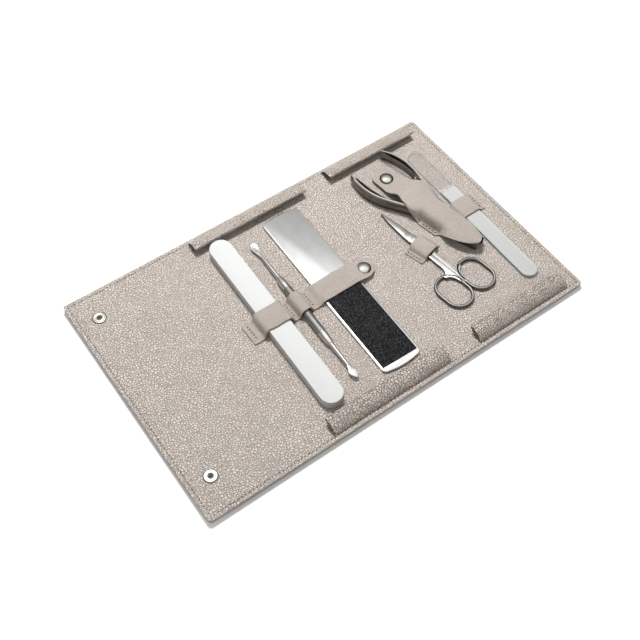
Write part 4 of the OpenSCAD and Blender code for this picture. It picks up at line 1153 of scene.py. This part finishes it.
def scissors_half(node, s, z, body):
    """One half: hollow-ground blade, shank and finger ring."""
    blade = paint_shaded_sides(cut_plate("blade", mirrored(BLADE_SIDE, s), z, z + 1.3, 0.28), STEEL, STEEL_SIDE_SHADE)
    blade.data.materials.append(BLADE_STEEL_DULLED)
    # the blade's flat top gets the darker steel of its painted dull reflection
    for face in blade.data.polygons:
        if face.normal.z > 0.9 and len(face.vertices) > 6:
            face.material_index = 2
    shank = paint_shaded_sides(cut_plate("shank", mirrored(SHANK_SIDE, s), 3.3, 6.0, 0.3, 3), STEEL, STEEL_SIDE_SHADE, 0.5)
    ring = []
    for cy, start in ((EYE_STRETCH, 0), (-EYE_STRETCH, 180)):
        for i in range(21):
            a = math.radians(start + 180 * i / 20)
            ring.append(Vector((s * EYE_X + EYE_R * math.cos(a), EYE_Y + cy + EYE_R * math.sin(a), EYE_Z)))
    eye = smooth(closed_tube("finger_ring", ring, EYE_SECTION), 50)
    parts = [blade, shank, paint_shaded_sides(eye, RING_STEEL_SHADED, STEEL_SIDE_SHADE, 0.85)]
    if s > 0:
        shoulder = cut_plate("shoulder", SHOULDER_SIDE, z + 1.2, z + 1.32, 0.03)
        parts.append(paint_shaded_sides(shoulder, STEEL, STEEL))
    hand_in(join(node + "_piece", parts), [node], "tool_steel", body, SCISSORS_PLACE)


def pivot_screw(node, z, r, height, body):
    """A low round screw head with a dished middle."""
    screw = lathe([(0.0, height - 0.14), (r * 0.55, height - 0.12), (r * 0.62, height), (r * 0.82, height),
                   (r, height * 0.55), (r, 0.0), (0.0, 0.0)], STEEL)
    screw.name = node + "_piece"
    hand_in(screw, [node], "tool_steel", body, shifted(*SCISSORS, z))


scissors_half("scissors_lower_blade", -1, 3.3, "scissors_lower")
scissors_half("scissors_upper_blade", 1, 4.7, "scissors_upper")
pivot_screw("scissors_pivot_screw", 6.02, 2.0, 0.5, "scissors_lower")


# ---------- nippers ----------

NIPPERS_PLACE = leaning(263.3, 101.7, 0, 12.0)
LEVER_BASE, LEVER_TALL, JAW_TOP = 3.3, 9.5, 10.9
# the handle's bow: an arc of this radius round this point, seen from the pivot, between two angles
BOW_X, BOW_Y, BOW_R, BOW_FROM, BOW_TURN, BOW_STEPS = -23.1, 54, 44, -22.0, 22.0 + 25.6, 24
JAW_SIDE = [(1.4, 0.0), (1.4, -7), (3.0, -16.2), (4.3, -25.2), (3.5, -36), (4.3, -36), (5.3, -32), (6.2, -27),
            (7.2, -22.5), (7.6, -18), (7.8, -7.9), (6.9, 3)]


def lever_section(i, f):
    """The handle's flat-sided section, thinner and lower towards its end."""
    tall = LEVER_TALL / 2 * (1.0 if f < 0.86 else 1.0 - 0.12 * (f - 0.86) / 0.14)
    thin = 1.0 if f < 0.75 else 1.0 - 0.25 * (f - 0.75) / 0.25
    outer, edge = 1.38 * thin, 1.05 * thin
    return [(0.5, tall), (-0.5, tall), (-edge, tall - 0.7), (-outer, 1.6), (-outer, -1.6), (-edge, 0.7 - tall),
            (-0.5, -tall), (0.5, -tall), (edge, 0.7 - tall), (outer, -1.6), (outer, 1.6), (edge, tall - 0.7)]


def nipper_lever(node, s, body):
    """One lever: jaw on one side of the pivot, bowed handle on the other."""
    line = [Vector((3.9, 3.0, 0)), Vector((17.7, 37.5, 0))]
    for i in range(1, BOW_STEPS + 1):
        a = math.radians(BOW_FROM + BOW_TURN * i / BOW_STEPS)
        line.append(Vector((BOW_X + BOW_R * math.cos(a), BOW_Y + BOW_R * math.sin(a), 0)))
    line = [Vector((s * p.x, p.y, LEVER_BASE + LEVER_TALL / 2)) for p in even(line, 1.2)]
    handle = paint_shaded_sides(smooth(swept("handle", line, lever_section), 45), STEEL, STEEL_SIDE_SHADE, 0.45)
    side = [(-s * x, y) for x, y in (JAW_SIDE if s > 0 else reversed(JAW_SIDE))]
    jaw = paint_shaded_sides(cut_plate("jaw", side, LEVER_BASE, JAW_TOP, 0.6, 3), STEEL, STEEL_SIDE_SHADE, 0.5)
    disc = lathe([(0.0, 4.3), (6.5, 4.3), (6.95, 3.9), (6.95, 0.3), (6.6, 0.05), (0.0, 0.05)], STEEL, STEEL_SIDE_SHADE,
                 place=shifted(0, 0, LEVER_BASE if s > 0 else 7.75))
    hand_in(join(node + "_piece", [handle, jaw, disc]), [node], "tool_steel", body, NIPPERS_PLACE)


nipper_lever("nipper_right_lever", 1, "nipper_right")
nipper_lever("nipper_left_lever", -1, "nipper_left")


# ---------- nipper holster and its tongue ----------

def flat_row(u, left, right, z):
    """A level row across the tongue."""
    return (u, [(left + (right - left) * f, z) for f in (0, 0.08, 0.22, 0.4, 0.6, 0.78, 0.92, 1)])


# rows across the holster from the tongue's end to the jaws: place along it, then each point's place across and height
HOLSTER_ROWS = [
    flat_row(64.5, -0.6, 4.8, 6.28), flat_row(64.0, -3.0, 7.0, 6.3), flat_row(62.8, -4.9, 9.0, 6.3),
    flat_row(60.8, -5.9, 10.3, 6.3), flat_row(57.5, -6.6, 11.0, 6.3), flat_row(51.0, -7.2, 11.1, 6.3),
    flat_row(46.5, -7.9, 11.3, 6.5), flat_row(42.0, -8.2, 11.4, 8.1), flat_row(37.0, -7.6, 11.6, 10.8),
    flat_row(33.0, -9.2, 12.0, 13.1),
    (29.5, [(-11, 13.7), (-9.6, 13.9), (-6.5, 14), (-2, 14.05), (3, 14.05), (8, 14), (11.6, 13.95), (13.6, 13.8)]),
    (26, [(-11.9, 13.9), (-10.4, 14), (-7, 14.1), (-2, 14.15), (3, 14.15), (9, 14.1),
          (14.2, 13.95), (16.6, 11.4)]),
    (23, [(-12.8, 13.2), (-11.6, 13.9), (-7.5, 14.1), (-2, 14.2), (3, 14.2), (9, 14.05), (14.2, 13), (17.4, 6.2)]),
    (20, [(-13.3, 10.4), (-12.6, 13.3), (-8, 14.1), (-2, 14.2), (3, 14.2), (8.5, 14), (14, 11.8), (17.3, 4.3)]),
    (16, [(-13.2, 7.6), (-11.5, 12.2), (-7.6, 14), (-2, 14.2), (3, 14.2), (8, 13.9), (13.3, 9.6), (16.6, 4.2)]),
    (12.6, [(-13.1, 4.9), (-10.6, 9.8), (-7.4, 13.8), (-2, 14.2), (3, 14.2), (7.6, 13.8),
            (12.6, 8.2), (15.9, 4.2)]),
    (10.4, [(-13.3, 4.25), (-10.5, 5.6), (-8.6, 12.2), (-4.5, 14.1), (2.5, 14.2), (7.4, 13.7),
            (12, 7.6), (15.4, 4.2)]),
    (9.6, [(-13.8, 4.2), (-10.6, 4.6), (-9, 11.6), (-5, 14), (2.5, 14.2), (7.3, 13.6), (11.8, 7.4), (15.2, 4.2)]),
    (4, [(-13.8, 4.2), (-10.6, 4.3), (-9.4, 10.6), (-6.4, 13.8), (2.5, 14.2), (7.3, 13.5),
         (11.2, 7.2), (14.1, 4.2)]),
    (-1.5, [(-13.8, 4.2), (-10.5, 4.3), (-9.4, 10.2), (-6.6, 13.7), (2.5, 14.1), (7.5, 13.2),
            (10.9, 7.4), (13, 4.2)]),
    (-5.8, [(-13.7, 4.2), (-10.5, 4.3), (-9.5, 9.4), (-7, 13.2), (2, 13.9), (7.8, 12.6),
            (10.6, 7.6), (12.1, 4.2)]),
    (-7, [(-12.4, 4.2), (-10.4, 4.5), (-9.5, 9), (-7.1, 13), (2, 13.8), (7.9, 12.4), (10.6, 7.5), (12.1, 4.25)]),
    (-9, [(-11.7, 5), (-10.9, 6.6), (-9.6, 9.4), (-7.1, 12.7), (2, 13.6), (7.8, 12.3), (10.7, 7.8), (12.4, 4.3)]),
    (-14, [(-13, 8.6), (-11.9, 9.5), (-10, 11), (-6.8, 12.7), (1, 13.3), (7.4, 12.2), (10.8, 8), (12.9, 4.7)]),
    (-19.5, [(-12.5, 10.2), (-11.3, 10.8), (-9.3, 11.8), (-5.8, 12.7), (0.5, 13), (6, 12.4),
             (9.3, 9.9), (11.1, 6.8)]),
    (-25, [(-11.1, 10.9), (-9.9, 11.4), (-7.8, 12.1), (-4.4, 12.6), (0, 12.7), (4.2, 12.4),
           (7.2, 10.9), (8.5, 8)]),
    (-29.5, [(-9.1, 11.3), (-8.1, 11.7), (-6.2, 12.3), (-3.4, 12.5), (-0.4, 12.55), (2.6, 12.4),
             (5.4, 11.4), (6.7, 9)]),
    (-33, [(-6.9, 11.3), (-6.1, 11.8), (-4.6, 12.3), (-2.8, 12.45), (-0.8, 12.45), (1.2, 12.3),
           (3.2, 11.7), (4.6, 10.4)]),
    (-35.6, [(-4.7, 11.9), (-4.2, 12.1), (-3.4, 12.35), (-2.5, 12.4), (-1.4, 12.4), (-0.4, 12.3),
             (0.8, 12.1), (1.8, 11.7)]),
    (-36.9, [(-3.2, 12.2), (-2.9, 12.25), (-2.6, 12.3), (-2.3, 12.3), (-1.9, 12.3), (-1.6, 12.3),
             (-1.2, 12.25), (-0.8, 12.2)]),
]


HOLSTER_TOP = 14.6


def holster():
    """One skin from the tongue over the handles and the joint to the jaws, draped between its two seams."""
    columns = [curve_through([(v, u, z) for v, z in row]) for u, row in HOLSTER_ROWS]
    lines = [curve_through(line) for line in zip(*columns)]
    across, along = len(lines) - 1, len(lines[0]) - 1

    def shape(s, t):
        p = lines[int(round(s * across))][int(round(t * along))].copy()
        wall = max(0.0, 1 - abs(p.x + 8.0) / 4.5) * max(0.0, 1 - abs(p.y - 1.0) / 15.0)
        fold = noise.noise(Vector((p.y * 0.42 + p.x * 0.25, p.z * 0.30 + p.x * 0.2, 7.0)))
        p.x -= abs(fold) * 0.9 * wall
        p.z += 0.22 * noise.noise(Vector((p.x * 0.16, p.y * 0.12, 3.0))) * (1 if p.z > 12 else 0.4) + 0.1
        p.z = min(p.z, HOLSTER_TOP)
        return p
    piece = bent_grid("nipper_holster_leather", across, along, shape)
    open_mesh(piece)
    close_mesh()
    if sum(face.normal.z for face in piece.data.polygons) < 0:
        open_mesh(piece)
        bpy.ops.mesh.flip_normals()
        bpy.ops.object.mode_set(mode="OBJECT")
    dress(piece, LEATHER_STRAP, LEATHER_SIDE_SHADE)
    # the rim the solidify makes gets the leather side in painted shade
    modify(piece, "SOLIDIFY", thickness=0.95, offset=-1, use_even_offset=True, use_rim=True, material_offset_rim=1)
    smooth(piece, 50)
    set_down(piece, NIPPERS_PLACE)
    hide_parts("nipper_holster", "nipper_holster_tongue")
    start, end = (spot(*(NIPPERS_PLACE @ Vector((0, y, 0))).xy) for y in (25.0, 29.0))
    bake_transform(piece)
    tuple(start)
    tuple(end)
    seam = sew("nipper_holster_stitches", [Vector((-12.1, 8.9, 4.4)), Vector((-12.1, -5.4, 4.4))], **STRAP_SEWING)
    set_down(seam, NIPPERS_PLACE)
    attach(seam, "right_panel")


holster()
snap_cap("holster_snap_cap", 253.97, 155.23, 6.42, "holster_tongue")


# ---------- glass file ----------

def glass_file():
    """A frosted plate with half-round ends and a ground edge."""
    piece = dress(cut_plate("glass_file_piece", bar_outline(142.0, 13.0, 20), 0.0, 2.6, 0.35), GLASS, GLASS_EDGE)
    for face in piece.data.polygons:
        if abs(face.normal.z) < 0.95:
            face.material_index = 1
    hand_in(piece, ["glass_file"], "frosted_glass", "glass_file", leaning(GLASS_FILE_X, 95.0, TOP, -0.3))


glass_file()


# ---------- finishes of the frame's own solids that still show ----------

CAD_FINISH = {"board": CARD, "nickel": NICKEL, "tool_steel": STEEL, "lining_leather": LEATHER_STRAP,
              "outer_leather": LEATHER_OUTER, "satin_steel": SATIN, "knurled_steel": KNURL}
slots = {part["node"]: part["material_slot"] for part in frame["record"]["subparts"]}
for node, thing in frame["nodes"].items():
    # the leaf springs are dressed all over in the steel of painted shade
    if "leaf_spring" in node:
        dress(thing, STEEL_SIDE_SHADE)
    elif slots[node] in CAD_FINISH:
        dress(thing, CAD_FINISH[slots[node]])
